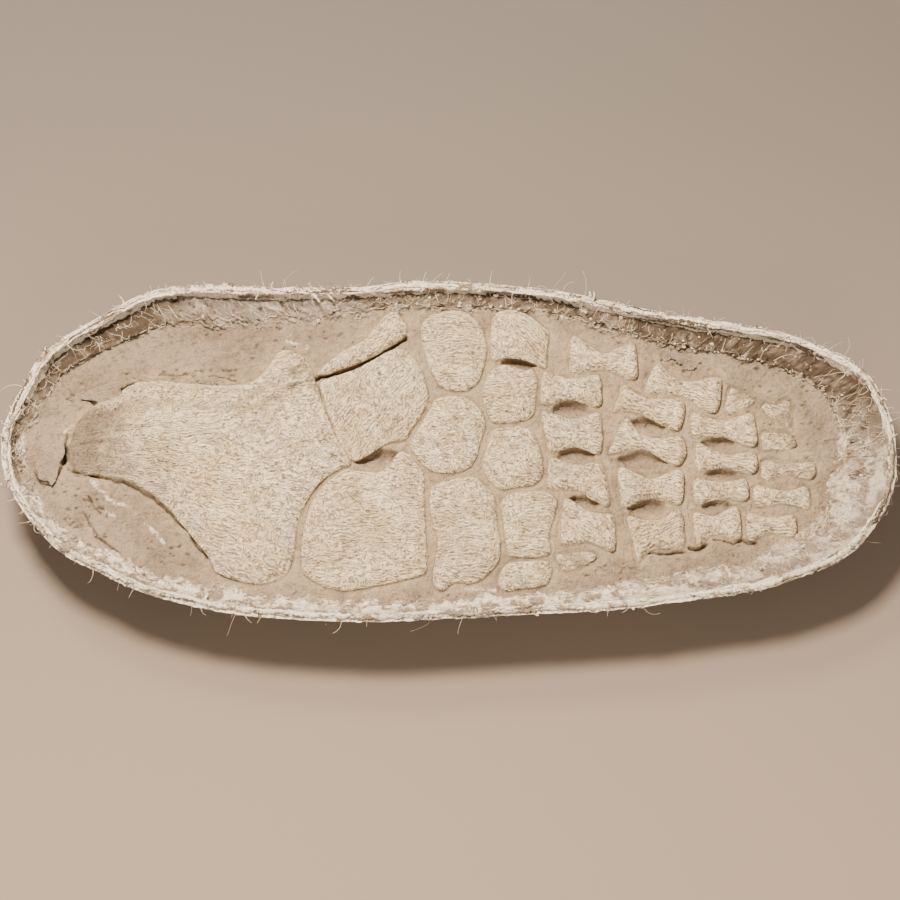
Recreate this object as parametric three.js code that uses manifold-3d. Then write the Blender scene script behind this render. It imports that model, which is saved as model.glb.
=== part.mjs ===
import * as THREE from 'three';
import { mergeVertices } from 'three/addons/utils/BufferGeometryUtils.js';
import Module from 'manifold-3d';

// A fossil plesiosaur paddle lying in its sediment, inside an open plaster field jacket.
// Millimetres, +Z up, +X from the shoulder towards the finger tips, origin under the middle.

const wasm = await Module();
wasm.setup();

// Jacket
const halfLength = 594;
const halfWidth = 240;
const rimHeight = 126;
const jacketSides = 52;
const crestOuterInset = 3;
const crestInnerInset = 12;
const lipInset = 15;
const crestInnerDrop = 1;
const lipDrop = 8;
const ledgeHeight = 101;

// The rim rises and falls in slow waves round the jacket.
const rimWaves = [
  { count: 3, start: 0.6, lift: 1.6 },
  { count: 7, start: 0, lift: 0.9 },
];

// The outer edge of the rim, seen from above, anticlockwise from the right end.
const rimOutline = [
  [594, -8], [588, 42], [565, 99], [534, 127], [446, 166], [323, 188], [210, 212], [149, 227],
  [-19, 240], [-127, 232], [-265, 230], [-389, 229], [-457, 196], [-542, 137], [-572, 83],
  [-594, 24], [-590, -34], [-566, -81], [-514, -141], [-459, -172], [-389, -204], [-267, -231],
  [-111, -240], [60, -232], [170, -226], [293, -213], [430, -189], [525, -148], [567, -104],
  [588, -60],
];

// How far the inner wall runs in from the lip to the sediment, by direction in degrees.
const wallRuns = [
  [-180, 12], [-120, 14], [-85, 12], [-60, 20], [-42, 27], [-15, 52], [10, 46], [40, 32],
  [75, 13], [100, 12], [125, 26], [160, 16], [180, 12],
];

// Where the inner wall is hollowed out under the lip, by direction in degrees.
const wallHollows = [
  { middle: 140, spread: 26, share: 1 },
  { middle: 48, spread: 30, share: 1 },
  { middle: 95, spread: 30, share: 0.7 },
];
const hollowInset = 11;
const wallSag = 2;
const hollowSag = 3;

// The underside, from the flat that it rests on up to the rim: height, inset at the sides,
// and how much more it draws in at the two ends, which curve up like a boat.
const undersideSteps = [
  { height: 0, inset: 64, endInset: 116 },
  { height: 14, inset: 34, endInset: 82 },
  { height: 44, inset: 14, endInset: 36 },
  { height: 84, inset: 4, endInset: 12 },
];

// The inside below the ledge, each inset counted from the ledge.
const bowlSteps = [
  { height: 66, inset: 4, endInset: 10 },
  { height: 40, inset: 16, endInset: 36 },
  { height: 24, inset: 46, endInset: 70 },
];
const bowlFloorHeight = 15;

// Sediment
const gap = 0.4;
const sedimentLevel = 96;
const sedimentEdgeLift = 4;
const sedimentEdgePower = 4;
const rippleHeight = 1.6;
const rippleLengthX = 47;
const rippleLengthY = 39;
const crossRippleHeight = 0.8;
const crossRippleLength = 23;
const sedimentRings = [0.95, 0.86, 0.72, 0.52, 0.27];
const cutTop = 150;
const sharpestCorner = 0.35;

const boneMaterial = { color: 0xd6c8b2, roughness: 0.82, metalness: 0 };
const sedimentMaterial = { color: 0xa5917a, roughness: 0.95, metalness: 0 };
const plasterMaterial = { color: 0xe6dac4, roughness: 0.9, metalness: 0 };

// Heights of each kind of bone: its underside, the edge where its top begins to round,
// its crest, and how far the middle of the top dips.
const humerusHeights = { under: 62, edge: 100, crest: 118, dip: 2 };
const forearmHeights = { under: 70, edge: 100, crest: 112, dip: 2 };
const wristHeights = { under: 74, edge: 100, crest: 110, dip: 1.5 };
const palmHeights = { under: 78, edge: 99, crest: 109, dip: 2.5 };
const fingerHeights = { under: 80, edge: 99, crest: 107, dip: 2 };
const crustedHeights = { under: 82, edge: 97.5, crest: 103, dip: 1 };

// Outlines run anticlockwise from above.
const blockBones = {
  humerus: {
    heights: humerusHeights,
    outline: [
      [-130, -15], [-155, 34], [-177, 98], [-185, 122], [-202, 139], [-222, 144], [-233, 134],
      [-253, 104], [-297, 95], [-358, 98], [-414, 101], [-443, 81], [-470, 67], [-491, 46],
      [-502, 4], [-495, -24], [-469, -29], [-431, -36], [-398, -52], [-370, -76], [-343, -108],
      [-317, -141], [-303, -165], [-267, -178], [-246, -181], [-222, -174], [-208, -160],
      [-200, -102], [-177, -50], [-149, -24],
    ],
  },
  preaxial_ossicle: {
    heights: wristHeights,
    outline: [
      [-165, 110], [-141, 118], [-111, 131], [-86, 145], [-63, 161], [-54, 174], [-74, 200],
      [-82, 196], [-97, 179], [-111, 161], [-141, 143], [-176, 112],
    ],
  },
  radius: {
    heights: forearmHeights,
    outline: [
      [-126, -11], [-99, 3], [-81, 14], [-58, 19], [-43, 43], [-29, 69], [-28, 92], [-49, 137],
      [-63, 146], [-82, 142], [-111, 124], [-141, 111], [-170, 99], [-159, 56], [-141, 8],
    ],
  },
  ulna: {
    heights: forearmHeights,
    outline: [
      [-139, -189], [-111, -186], [-66, -176], [-31, -165], [-28, -136], [-33, -69],
      [-34, -26], [-48, -9], [-60, 5], [-81, -20], [-99, -28], [-131, -22], [-152, -33],
      [-171, -52], [-187, -88], [-194, -143], [-188, -168], [-165, -182],
    ],
  },
  radiale: {
    heights: wristHeights,
    outline: [
      [-7, 91], [30, 89], [47, 120], [51, 151], [41, 182], [27, 196], [11, 201], [-14, 198],
      [-31, 189], [-37, 172], [-27, 126], [-15, 99],
    ],
  },
  intermedium: {
    heights: wristHeights,
    outline: [
      [-7, -28], [21, -24], [36, -8], [43, 17], [49, 42], [41, 62], [28, 75], [5, 80],
      [-18, 74], [-23, 64], [-37, 40], [-51, 14], [-43, -3], [-27, -22],
    ],
  },
  ulnare: {
    heights: wristHeights,
    outline: [
      [-9, -190], [11, -177], [23, -181], [41, -175], [57, -162], [67, -146], [68, -130],
      [65, -104], [62, -81], [60, -58], [47, -44], [38, -35], [22, -34], [-2, -38],
      [-21, -46], [-25, -64], [-22, -91], [-15, -118], [-18, -154], [-21, -178],
    ],
  },
  distal_carpal_1: {
    heights: wristHeights,
    outline: [
      [59, 131], [83, 134], [110, 128], [129, 119], [132, 150], [134, 171], [126, 178],
      [109, 194], [89, 202], [73, 202], [59, 190], [57, 165],
    ],
  },
  distal_carpal_2: {
    heights: wristHeights,
    outline: [
      [59, 43], [83, 43], [109, 49], [115, 63], [117, 88], [115, 116], [101, 117], [72, 124],
      [57, 117], [49, 98], [45, 80], [51, 60],
    ],
  },
  distal_carpal_3: {
    heights: wristHeights,
    outline: [
      [67, -51], [101, -45], [121, -40], [124, -6], [117, 18], [105, 35], [78, 36], [60, 33],
      [54, 24], [50, 6], [45, -20], [55, -38],
    ],
  },
  distal_carpal_4: {
    heights: wristHeights,
    outline: [
      [79, -141], [101, -143], [131, -141], [132, -115], [138, -91], [143, -67], [136, -58],
      [121, -52], [101, -54], [73, -61], [71, -81], [73, -106], [76, -132],
    ],
  },
  distal_carpal_5: {
    heights: wristHeights,
    outline: [
      [77, -190], [101, -185], [126, -183], [133, -175], [136, -158], [131, -149], [101, -150],
      [79, -152], [69, -163], [66, -180],
    ],
  },
  metacarpal_6: {
    heights: crustedHeights,
    outline: [
      [150, -161], [174, -157], [190, -148], [194, -142], [183, -135], [150, -138],
      [142, -140], [145, -153],
    ],
  },
  phalanx_1_1: {
    heights: palmHeights,
    outline: [
      [262, 87], [292, 82], [315, 78], [334, 65], [353, 56], [358, 60], [364, 101], [361, 107],
      [335, 103], [317, 102], [302, 107], [288, 121], [281, 129], [270, 112],
    ],
    centre: [302, 96],
  },
  phalanx_1_2: {
    heights: palmHeights,
    outline: [
      [219, 58], [233, 59], [247, 57], [261, 52], [278, 44], [303, 31], [310, 38], [314, 67],
      [309, 76], [278, 77], [258, 81], [240, 92], [234, 97], [225, 78],
    ],
  },
  phalanx_1_3: {
    heights: palmHeights,
    outline: [
      [212, 0], [227, 2], [250, 5], [270, 1], [283, -7], [297, -16], [309, -15], [314, 20],
      [278, 22], [261, 27], [247, 38], [236, 51], [223, 25],
    ],
  },
  phalanx_1_5: {
    heights: palmHeights,
    outline: [
      [249, -150], [257, -142], [268, -133], [295, -132], [309, -131], [311, -118], [305, -79],
      [297, -79], [289, -86], [275, -92], [257, -91], [239, -86], [234, -90], [242, -118],
    ],
  },
  phalanx_3_2: {
    heights: crustedHeights,
    outline: [[415, 5], [433, 6], [461, 8], [453, 27], [422, 30], [415, 26]],
  },
};

// The bones of the hand that draw in between two broad ends: the x of both ends at their upper
// and lower corners, the y of the upper and lower corner at both ends, and the waist's x, upper
// y and lower y.
const shaftBones = {
  metacarpal_1: {
    heights: palmHeights, near: [165, 162], far: [250, 252],
    nearEnd: [165, 113], waist: [206, 142, 117], farEnd: [155, 103],
  },
  metacarpal_2: {
    heights: palmHeights, near: [125, 123], far: [202, 203],
    nearEnd: [114, 67], waist: [162, 106, 75], farEnd: [110, 65],
  },
  metacarpal_3: {
    heights: palmHeights, near: [124, 133], far: [202, 203],
    nearEnd: [58, 1], waist: [167, 49, 10], farEnd: [58, -1],
  },
  metacarpal_4: {
    heights: palmHeights, near: [133, 131], far: [204, 213],
    nearEnd: [-7, -50], waist: [170, -15, -52], farEnd: [-10, -74],
  },
  metacarpal_5: {
    heights: palmHeights, near: [152, 148], far: [218, 219],
    nearEnd: [-61, -127], waist: [186, -79, -122], farEnd: [-84, -136],
  },
  phalanx_1_4: {
    heights: palmHeights, near: [225, 229], far: [310, 309],
    nearEnd: [-19, -75], waist: [266, -34, -62], farEnd: [-22, -71],
  },
  phalanx_2_1: {
    heights: crustedHeights, near: [374, 369], far: [405, 406],
    nearEnd: [93, 55], waist: [392, 88, 61], farEnd: [81, 69],
  },
  phalanx_2_2: {
    heights: fingerHeights, near: [323, 323], far: [406, 409],
    nearEnd: [57, 22], waist: [360, 47, 24], farEnd: [56, 9],
  },
  phalanx_2_3: {
    heights: fingerHeights, near: [328, 329], far: [408, 408],
    nearEnd: [15, -25], waist: [363, 0, -20], farEnd: [1, -28],
  },
  phalanx_2_4: {
    heights: fingerHeights, near: [324, 325], far: [395, 396],
    nearEnd: [-34, -71], waist: [357, -39, -62], farEnd: [-36, -66],
  },
  phalanx_2_5: {
    heights: fingerHeights, near: [322, 326], far: [383, 385],
    nearEnd: [-80, -128], waist: [347, -86, -112], farEnd: [-74, -119],
  },
  phalanx_3_1: {
    heights: crustedHeights, near: [418, 418], far: [455, 456],
    nearEnd: [70, 56], waist: [434, 69, 47], farEnd: [76, 37],
  },
  phalanx_3_3: {
    heights: crustedHeights, near: [416, 416], far: [484, 484],
    nearEnd: [-8, -38], waist: [446, -12, -31], farEnd: [-12, -35],
  },
  phalanx_3_4: {
    heights: fingerHeights, near: [404, 404], far: [476, 477],
    nearEnd: [-45, -74], waist: [446, -51, -70], farEnd: [-46, -77],
  },
  phalanx_3_5: {
    heights: fingerHeights, near: [394, 394], far: [457, 457],
    nearEnd: [-82, -121], waist: [423, -88, -110], farEnd: [-85, -117],
  },
};

// Hollows in the sediment between the bones: middle, half length, half breadth and depth.
const pits = [
  { x: -92, y: -7, length: 34, breadth: 15, depth: 12 },
  { x: 95, y: 126, length: 26, breadth: 9, depth: 12 },
  { x: 163, y: 61, length: 27, breadth: 13, depth: 11 },
  { x: 170, y: -2, length: 27, breadth: 13, depth: 11 },
  { x: 176, y: -70, length: 24, breadth: 12, depth: 11 },
  { x: 262, y: 38, length: 28, breadth: 14, depth: 11 },
  { x: 255, y: -10, length: 36, breadth: 13, depth: 11 },
  { x: 264, y: -77, length: 27, breadth: 15, depth: 11 },
  { x: 360, y: 12, length: 24, breadth: 13, depth: 10 },
  { x: 360, y: -30, length: 22, breadth: 10, depth: 9 },
  { x: 355, y: -73, length: 22, breadth: 10, depth: 9 },
];
const pitSides = 8;
const pitRows = 4;
const pitLift = 1;

const blockSamplesPerPoint = 1.35;
const shaftSideSteps = 4;
const shaftCorner = 4;
const shaftCornerShare = 0.3;
const shaftBulge = 1.5;

// The rings of a bone, each as a share of its outline and of its rise.
const footShare = 0.96;
const shoulderRing = { share: 0.92, lift: 0.65 };
const crownRing = { share: 0.66, lift: 1 };
const crownDip = 1.4;
const weldDistance = 1e-4;

function sampleClosedCurve(points, count) {
  const curve = new THREE.CatmullRomCurve3(
    points.map(([x, y]) => new THREE.Vector3(x, y, 0)), true, 'centripetal',
  );
  const samples = [];
  for (let i = 0; i < count; i += 1) {
    const point = curve.getPoint(i / count);
    samples.push([point.x, point.y]);
  }
  return samples;
}

// The point that a bone's rings shrink towards.
function middleOf(outline, bone) {
  if (bone.centre) {
    return bone.centre;
  }
  const sum = outline.reduce((total, [x, y]) => [total[0] + x, total[1] + y], [0, 0]);
  return [sum[0] / outline.length, sum[1] / outline.length];
}

// Stacks rings of equally many points and closes them with a fan at each end.
function closedStack(rings, firstCentre, lastCentre) {
  const count = rings[0].length;
  const positions = [...rings.flat(), firstCentre, lastCentre].flat();
  const firstIndex = rings.length * count;
  const lastIndex = firstIndex + 1;
  const topStart = (rings.length - 1) * count;
  const faces = [];
  for (let i = 0; i < count; i += 1) {
    const next = (i + 1) % count;
    faces.push(firstIndex, next, i);
    for (let level = 0; level < rings.length - 1; level += 1) {
      const low = level * count;
      const high = low + count;
      faces.push(low + i, low + next, high + next);
      faces.push(low + i, high + next, high + i);
    }
    faces.push(lastIndex, topStart + i, topStart + next);
  }
  const geometry = new THREE.BufferGeometry();
  geometry.setAttribute('position', new THREE.Float32BufferAttribute(positions, 3));
  geometry.setIndex(faces);
  return geometry;
}

function solidFrom(geometry) {
  const plain = geometry.clone();
  plain.deleteAttribute('normal');
  plain.deleteAttribute('uv');
  const merged = mergeVertices(plain, weldDistance);
  return new wasm.Manifold(new wasm.Mesh({
    numProp: 3,
    vertProperties: new Float32Array(merged.attributes.position.array),
    triVerts: new Uint32Array(merged.index.array),
  }));
}

function geometryFrom(solid) {
  const mesh = solid.getMesh();
  const geometry = new THREE.BufferGeometry();
  geometry.setAttribute('position', new THREE.BufferAttribute(mesh.vertProperties, 3));
  geometry.setIndex(new THREE.BufferAttribute(mesh.triVerts, 1));
  return geometry;
}

function largestPiece(solid) {
  const pieces = solid.decompose();
  pieces.sort((a, b) => b.volume() - a.volume());
  return pieces[0];
}

function directionOf([x, y]) {
  return THREE.MathUtils.radToDeg(Math.atan2(y / halfWidth, x / halfLength));
}

function hollowShare(point) {
  const angle = directionOf(point);
  const share = wallHollows.reduce(
    (total, hollow) => total + hollow.share * Math.exp(-(((angle - hollow.middle) / hollow.spread) ** 2)),
    0,
  );
  return Math.min(share, 1);
}

function wallRunAt(point) {
  const angle = directionOf(point);
  const index = wallRuns.findIndex(([limit]) => limit >= angle);
  const [highAngle, highRun] = wallRuns[Math.max(index, 1)];
  const [lowAngle, lowRun] = wallRuns[Math.max(index, 1) - 1];
  const part = (angle - lowAngle) / (highAngle - lowAngle);
  return THREE.MathUtils.lerp(lowRun, highRun, THREE.MathUtils.smoothstep(part, 0, 1));
}

function insetPoint([x, y], inset, endInset) {
  return [x * (1 - (inset + endInset) / halfLength), y * (1 - inset / halfWidth)];
}

function rimHeightAt(index) {
  const turn = (index / jacketSides) * 2 * Math.PI;
  return rimWaves.reduce(
    (height, { count, start, lift }) => height + lift * Math.sin(count * turn + start),
    rimHeight,
  );
}

const rimLine = sampleClosedCurve(rimOutline, jacketSides);

function rimRing(height, insetAt, endInset = 0) {
  return rimLine.map((point, index) => [
    ...insetPoint(point, insetAt(point), endInset),
    typeof height === 'function' ? height(index, point) : height,
  ]);
}

function buildJacket() {
  const ledgeInset = (point) => lipInset + wallRunAt(point);
  const wallInset = (point) => {
    const slope = (lipInset + ledgeInset(point)) / 2;
    return THREE.MathUtils.lerp(slope, hollowInset, hollowShare(point));
  };
  const wallHeight = (index, point) => {
    const middle = (rimHeightAt(index) - lipDrop + ledgeHeight) / 2;
    return middle - wallSag - hollowSag * hollowShare(point);
  };
  const rings = [
    ...undersideSteps.map((step) => rimRing(step.height, () => step.inset, step.endInset)),
    rimRing((index) => rimHeightAt(index) - lipDrop, () => 0),
    rimRing(rimHeightAt, () => crestOuterInset),
    rimRing((index) => rimHeightAt(index) - crestInnerDrop, () => crestInnerInset),
    rimRing((index) => rimHeightAt(index) - lipDrop, () => lipInset),
    rimRing(wallHeight, wallInset),
    rimRing(ledgeHeight, ledgeInset),
    ...bowlSteps.map((step) => rimRing(
      step.height, (point) => ledgeInset(point) + step.inset, step.endInset,
    )),
  ];
  return closedStack(rings, [0, 0, 0], [0, 0, bowlFloorHeight]);
}

function sedimentHeight(x, y, edgeShare) {
  const ripple = rippleHeight * Math.sin(x / rippleLengthX) * Math.cos(y / rippleLengthY);
  const crossRipple = crossRippleHeight * Math.sin((x + y) / crossRippleLength);
  return sedimentLevel + ripple + crossRipple + sedimentEdgeLift * edgeShare ** sedimentEdgePower;
}

function buildSediment() {
  const edgeInset = (point) => lipInset + wallRunAt(point) + gap;
  const edge = rimRing(ledgeHeight, edgeInset);
  const rings = [
    ...bowlSteps.toReversed().map((step) => rimRing(
      step.height + gap, (point) => edgeInset(point) + step.inset, step.endInset,
    )),
    edge,
    ...sedimentRings.map((share) => edge.map(([x, y]) => [
      x * share, y * share, sedimentHeight(x * share, y * share, share),
    ])),
  ];
  return closedStack(rings, [0, 0, bowlFloorHeight + gap], [0, 0, sedimentHeight(0, 0, 0)]);
}

// One side of a shaft bone, which draws in smoothly from both corners to the waist.
function shaftSide([startX, startY], [waistX, waistY], [endX, endY]) {
  const points = [];
  for (let i = 0; i <= shaftSideSteps; i += 1) {
    const x = THREE.MathUtils.lerp(startX, endX, i / shaftSideSteps);
    const beforeWaist = (x - waistX) * (startX - waistX) > 0;
    const [cornerX, cornerY] = beforeWaist ? [startX, startY] : [endX, endY];
    const share = THREE.MathUtils.smoothstep((x - waistX) / (cornerX - waistX), 0, 1);
    points.push([x, THREE.MathUtils.lerp(waistY, cornerY, share)]);
  }
  return points;
}

// A shaft bone's end from its first corner to its second, bulging a little by the sign given.
function shaftEnd([firstX, firstY], [lastX, lastY], corner, side) {
  const turn = Math.sign(lastY - firstY) * corner;
  return [
    [firstX, firstY + turn],
    [(firstX + lastX) / 2 + side * shaftBulge, (firstY + lastY) / 2],
    [lastX, lastY - turn],
  ];
}

function shaftOutline({ near, far, nearEnd, waist, farEnd }) {
  const nearCorner = Math.min(shaftCorner, (nearEnd[0] - nearEnd[1]) * shaftCornerShare);
  const farCorner = Math.min(shaftCorner, (farEnd[0] - farEnd[1]) * shaftCornerShare);
  const [waistX, waistUpper, waistLower] = waist;
  return [
    ...shaftSide(
      [near[1] + nearCorner, nearEnd[1]], [waistX, waistLower], [far[1] - farCorner, farEnd[1]],
    ),
    ...shaftEnd([far[1], farEnd[1]], [far[0], farEnd[0]], farCorner, 1),
    ...shaftSide(
      [far[0] - farCorner, farEnd[0]], [waistX, waistUpper], [near[0] + nearCorner, nearEnd[0]],
    ),
    ...shaftEnd([near[0], nearEnd[0]], [near[1], nearEnd[1]], nearCorner, -1),
  ];
}

function boneOutline(bone) {
  if (bone.outline) {
    return sampleClosedCurve(bone.outline, Math.round(bone.outline.length * blockSamplesPerPoint));
  }
  return shaftOutline(bone);
}

// A bone is a block with upright sides, a rounded shoulder and a slightly dished top. Towards
// the two ends of its length the top is a little higher than over the waist.
function buildBone(outline, [cx, cy], { under, edge, crest, dip }) {
  const reach = Math.max(...outline.map(([x]) => Math.abs(x - cx)));
  const rise = crest - edge;
  const ring = (share, lift) => outline.map(([x, y]) => {
    const waistDrop = dip * (1 - ((x - cx) / reach) ** 2) * (lift / rise);
    return [cx + (x - cx) * share, cy + (y - cy) * share, edge + lift - waistDrop];
  });
  const foot = outline.map(([x, y]) => [
    cx + (x - cx) * footShare, cy + (y - cy) * footShare, under,
  ]);
  const rings = [
    foot,
    ring(1, 0),
    ring(shoulderRing.share, rise * shoulderRing.lift),
    ring(crownRing.share, rise * crownRing.lift),
  ];
  return closedStack(rings, [cx, cy, under], [cx, cy, crest - crownDip * dip]);
}

function edgeNormal([ax, ay], [bx, by]) {
  return new THREE.Vector2(by - ay, ax - bx).normalize();
}

// The bed that a bone lies in: its outline grown by the gap, open at the top.
function buildBed(outline, [cx, cy], under) {
  const count = outline.length;
  const grown = outline.map((point, index) => {
    const before = edgeNormal(outline[(index + count - 1) % count], point);
    const after = edgeNormal(point, outline[(index + 1) % count]);
    const corner = before.clone().add(after).normalize();
    const reach = gap / Math.max(corner.dot(before), sharpestCorner);
    return [point[0] + corner.x * reach, point[1] + corner.y * reach];
  });
  const floor = under - gap;
  const rings = [
    grown.map(([x, y]) => [x, y, floor]),
    grown.map(([x, y]) => [x, y, cutTop]),
  ];
  return closedStack(rings, [cx, cy, floor], [cx, cy, cutTop]);
}

function buildPit({ x, y, length, breadth, depth }) {
  const pit = new THREE.SphereGeometry(1, pitSides, pitRows);
  pit.rotateX(Math.PI / 2);
  pit.scale(length, breadth, depth);
  pit.translate(x, y, sedimentLevel + pitLift);
  return pit;
}

const paddle = new THREE.Group();

function addMesh(name, geometry, material) {
  const mesh = new THREE.Mesh(geometry, new THREE.MeshStandardMaterial(material));
  mesh.name = name;
  paddle.add(mesh);
}

addMesh('plaster_jacket', buildJacket(), plasterMaterial);

let sediment = solidFrom(buildSediment());
for (const [name, bone] of Object.entries({ ...blockBones, ...shaftBones })) {
  const outline = boneOutline(bone);
  const middle = middleOf(outline, bone);
  addMesh(name, buildBone(outline, middle, bone.heights), boneMaterial);
  sediment = sediment.subtract(solidFrom(buildBed(outline, middle, bone.heights.under)));
}
for (const pit of pits) {
  sediment = sediment.subtract(solidFrom(buildPit(pit)));
}
addMesh('sediment_matrix', geometryFrom(largestPiece(sediment)), sedimentMaterial);

export default paddle;
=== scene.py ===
import math

import bpy
import numpy as np
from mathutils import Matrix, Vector


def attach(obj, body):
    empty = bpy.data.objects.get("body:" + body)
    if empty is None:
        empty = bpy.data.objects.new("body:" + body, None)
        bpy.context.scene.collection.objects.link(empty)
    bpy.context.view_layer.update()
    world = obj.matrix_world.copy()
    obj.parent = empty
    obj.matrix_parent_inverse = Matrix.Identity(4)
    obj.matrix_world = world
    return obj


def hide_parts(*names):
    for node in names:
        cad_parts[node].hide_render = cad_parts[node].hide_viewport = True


# A fossil plesiosaur paddle in its plaster field jacket.
# Sizes are in millimetres until a mesh is made, and the lights and camera are in metres.

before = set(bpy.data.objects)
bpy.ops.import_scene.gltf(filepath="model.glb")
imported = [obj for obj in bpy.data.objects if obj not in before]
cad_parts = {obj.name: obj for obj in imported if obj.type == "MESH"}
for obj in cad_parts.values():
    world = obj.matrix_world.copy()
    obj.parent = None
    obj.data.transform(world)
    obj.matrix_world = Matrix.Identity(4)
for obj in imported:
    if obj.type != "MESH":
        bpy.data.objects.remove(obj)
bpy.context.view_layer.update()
MM = 0.001

# Jacket, as in the solids
HALF_LENGTH = 594.0
HALF_WIDTH = 240.0
RIM_HEIGHT = 126.0
RIM_SWELL = 2.5
LIP_INSET = 15.0
LIP_DROP = 8.0
LEDGE_HEIGHT = 101.0
BOWL_FLOOR = 15.0
RIM_OUTLINE = [
    (594, -8), (588, 42), (565, 99), (534, 127), (446, 166), (323, 188), (210, 212), (149, 227),
    (-19, 240), (-127, 232), (-265, 230), (-389, 229), (-457, 196), (-542, 137), (-572, 83),
    (-594, 24), (-590, -34), (-566, -81), (-514, -141), (-459, -172), (-389, -204), (-267, -231),
    (-111, -240), (60, -232), (170, -226), (293, -213), (430, -189), (525, -148), (567, -104),
    (588, -60),
]
WALL_RUNS = [
    (-180, 12), (-120, 14), (-85, 12), (-60, 20), (-42, 27), (-15, 52), (10, 46), (40, 32),
    (75, 13), (100, 12), (125, 26), (160, 16), (180, 12),
]
JACKET_SIDES = 1250

# Sediment
SEDIMENT_LEVEL = 96.8
GRID_STEP = 1.6
SEDIMENT_FOOT = 60.0
PITS = [
    (-92, -7, 34, 15, 13), (95, 126, 26, 9, 12), (163, 61, 27, 13, 13), (170, -2, 27, 13, 13),
    (176, -70, 24, 12, 13), (262, 38, 28, 14, 12), (255, -10, 36, 13, 13), (264, -77, 27, 15, 13),
    (360, 12, 24, 13, 11), (360, -30, 22, 10, 10), (355, -73, 22, 10, 10),
]

# Noise

def lattice_noise(u, v, seed, wrap=0):
    """Smooth random values from -1 to 1, one cell per unit; wrap repeats them along u."""
    size = 512
    table = np.random.default_rng(seed).uniform(-1, 1, (size, size))
    iu = np.floor(u).astype(int)
    iv = np.floor(v).astype(int)
    fu = u - iu
    fv = v - iv
    fu = fu * fu * (3 - 2 * fu)
    fv = fv * fv * (3 - 2 * fv)

    def at(a, b):
        if wrap:
            a = a % wrap
        return table[a % size, b % size]

    low = at(iu, iv) * (1 - fu) + at(iu + 1, iv) * fu
    high = at(iu, iv + 1) * (1 - fu) + at(iu + 1, iv + 1) * fu
    return low * (1 - fv) + high * fv


def fractal(u, v, seed, octaves=4, gain=0.5, wrap=0):
    """Layers of noise, each of half the size and gain times the height of the one before."""
    total = 0.0
    weight = 1.0
    reach = 0.0
    for octave in range(octaves):
        scale = 2 ** octave
        total = total + weight * lattice_noise(
            u * scale, v * scale, seed + octave, wrap * scale
        )
        reach += weight
        weight *= gain
    return total / reach


def ridged(u, v, seed, octaves=3, wrap=0):
    """Noise with sharp crests, up to 1."""
    return 1 - 2 * np.abs(fractal(u, v, seed, octaves, 0.5, wrap))


def smooth(value, low, high):
    """0 below low, 1 above high and a smooth step between."""
    part = np.clip((value - low) / (high - low), 0, 1)
    return part * part * (3 - 2 * part)


# Curves

def closed_curve(points, samples_per_span=24):
    """A centripetal Catmull-Rom curve through the points, closed."""
    p = np.array(points, float)
    t = np.linspace(0, 1, samples_per_span, endpoint=False)[:, None]
    spans = []
    for i in range(len(p)):
        a, b, c, d = p[i - 1], p[i], p[(i + 1) % len(p)], p[(i + 2) % len(p)]
        before, here, after = (math.sqrt(np.linalg.norm(v)) for v in (b - a, c - b, d - c))
        leave = (c - b) + here * ((b - a) / before - (c - a) / (before + here))
        arrive = (c - b) + here * ((d - c) / after - (d - b) / (here + after))
        spans.append(
            b + leave * t + (3 * (c - b) - 2 * leave - arrive) * t ** 2
            + (2 * (b - c) + leave + arrive) * t ** 3
        )
    return np.concatenate(spans)


def resample_closed(points, count):
    """Evenly spaced points on a closed line, their distances along it and its length."""
    loop = np.vstack([points, points[:1]])
    lengths = np.concatenate([[0], np.cumsum(np.linalg.norm(np.diff(loop, axis=0), axis=1))])
    marks = np.linspace(0, lengths[-1], count, endpoint=False)
    columns = [np.interp(marks, lengths, loop[:, k]) for k in range(loop.shape[1])]
    return np.stack(columns, 1), marks, lengths[-1]


def outward_normals(loop):
    along = np.roll(loop, -1, axis=0) - np.roll(loop, 1, axis=0)
    normal = np.stack([along[:, 1], -along[:, 0]], 1)
    return normal / np.linalg.norm(normal, axis=1, keepdims=True)


def distance_to_loop(points, loop, chunk=4000):
    """Distance from each point to a closed loop of straight edges."""
    a = loop
    edge = np.roll(loop, -1, axis=0) - a
    square = np.maximum((edge ** 2).sum(1), 1e-9)
    result = np.empty(len(points))
    for start in range(0, len(points), chunk):
        p = points[start:start + chunk, None, :]
        share = np.clip(((p - a) * edge).sum(2) / square, 0, 1)
        gap = p - a - share[..., None] * edge
        result[start:start + chunk] = np.sqrt((gap ** 2).sum(2).min(1))
    return result


def inside_loop(points, loop):
    x, y = points[:, 0], points[:, 1]
    result = np.zeros(len(points), bool)
    ax, ay = loop[-1]
    for bx, by in loop:
        crosses = (ay > y) != (by > y)
        if ay != by:
            result ^= crosses & (x < (bx - ax) * (y - ay) / (by - ay) + ax)
        ax, ay = bx, by
    return result


def rows_through(controls, places):
    """Catmull-Rom rows through the rows of controls, at places counted in controls."""
    last = len(controls) - 1
    first = np.minimum(places.astype(int), last - 1)
    a, b, c, d = (controls[np.clip(first + k, 0, last)] for k in (-1, 0, 1, 2))
    t = (places - first)[:, None, None]
    return 0.5 * (2 * b + (c - a) * t + (2 * a - 5 * b + 4 * c - d) * t ** 2
                  + (3 * b - a - 3 * c + d) * t ** 3)


def nearest_turn(angles, angle):
    """Index of the direction nearest to the angle, in degrees."""
    return int(np.argmin(np.abs((angles - angle + 180) % 360 - 180)))


def nearest_row(places, place):
    return int(np.argmin(np.abs(places - place)))


# Mesh making

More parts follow.
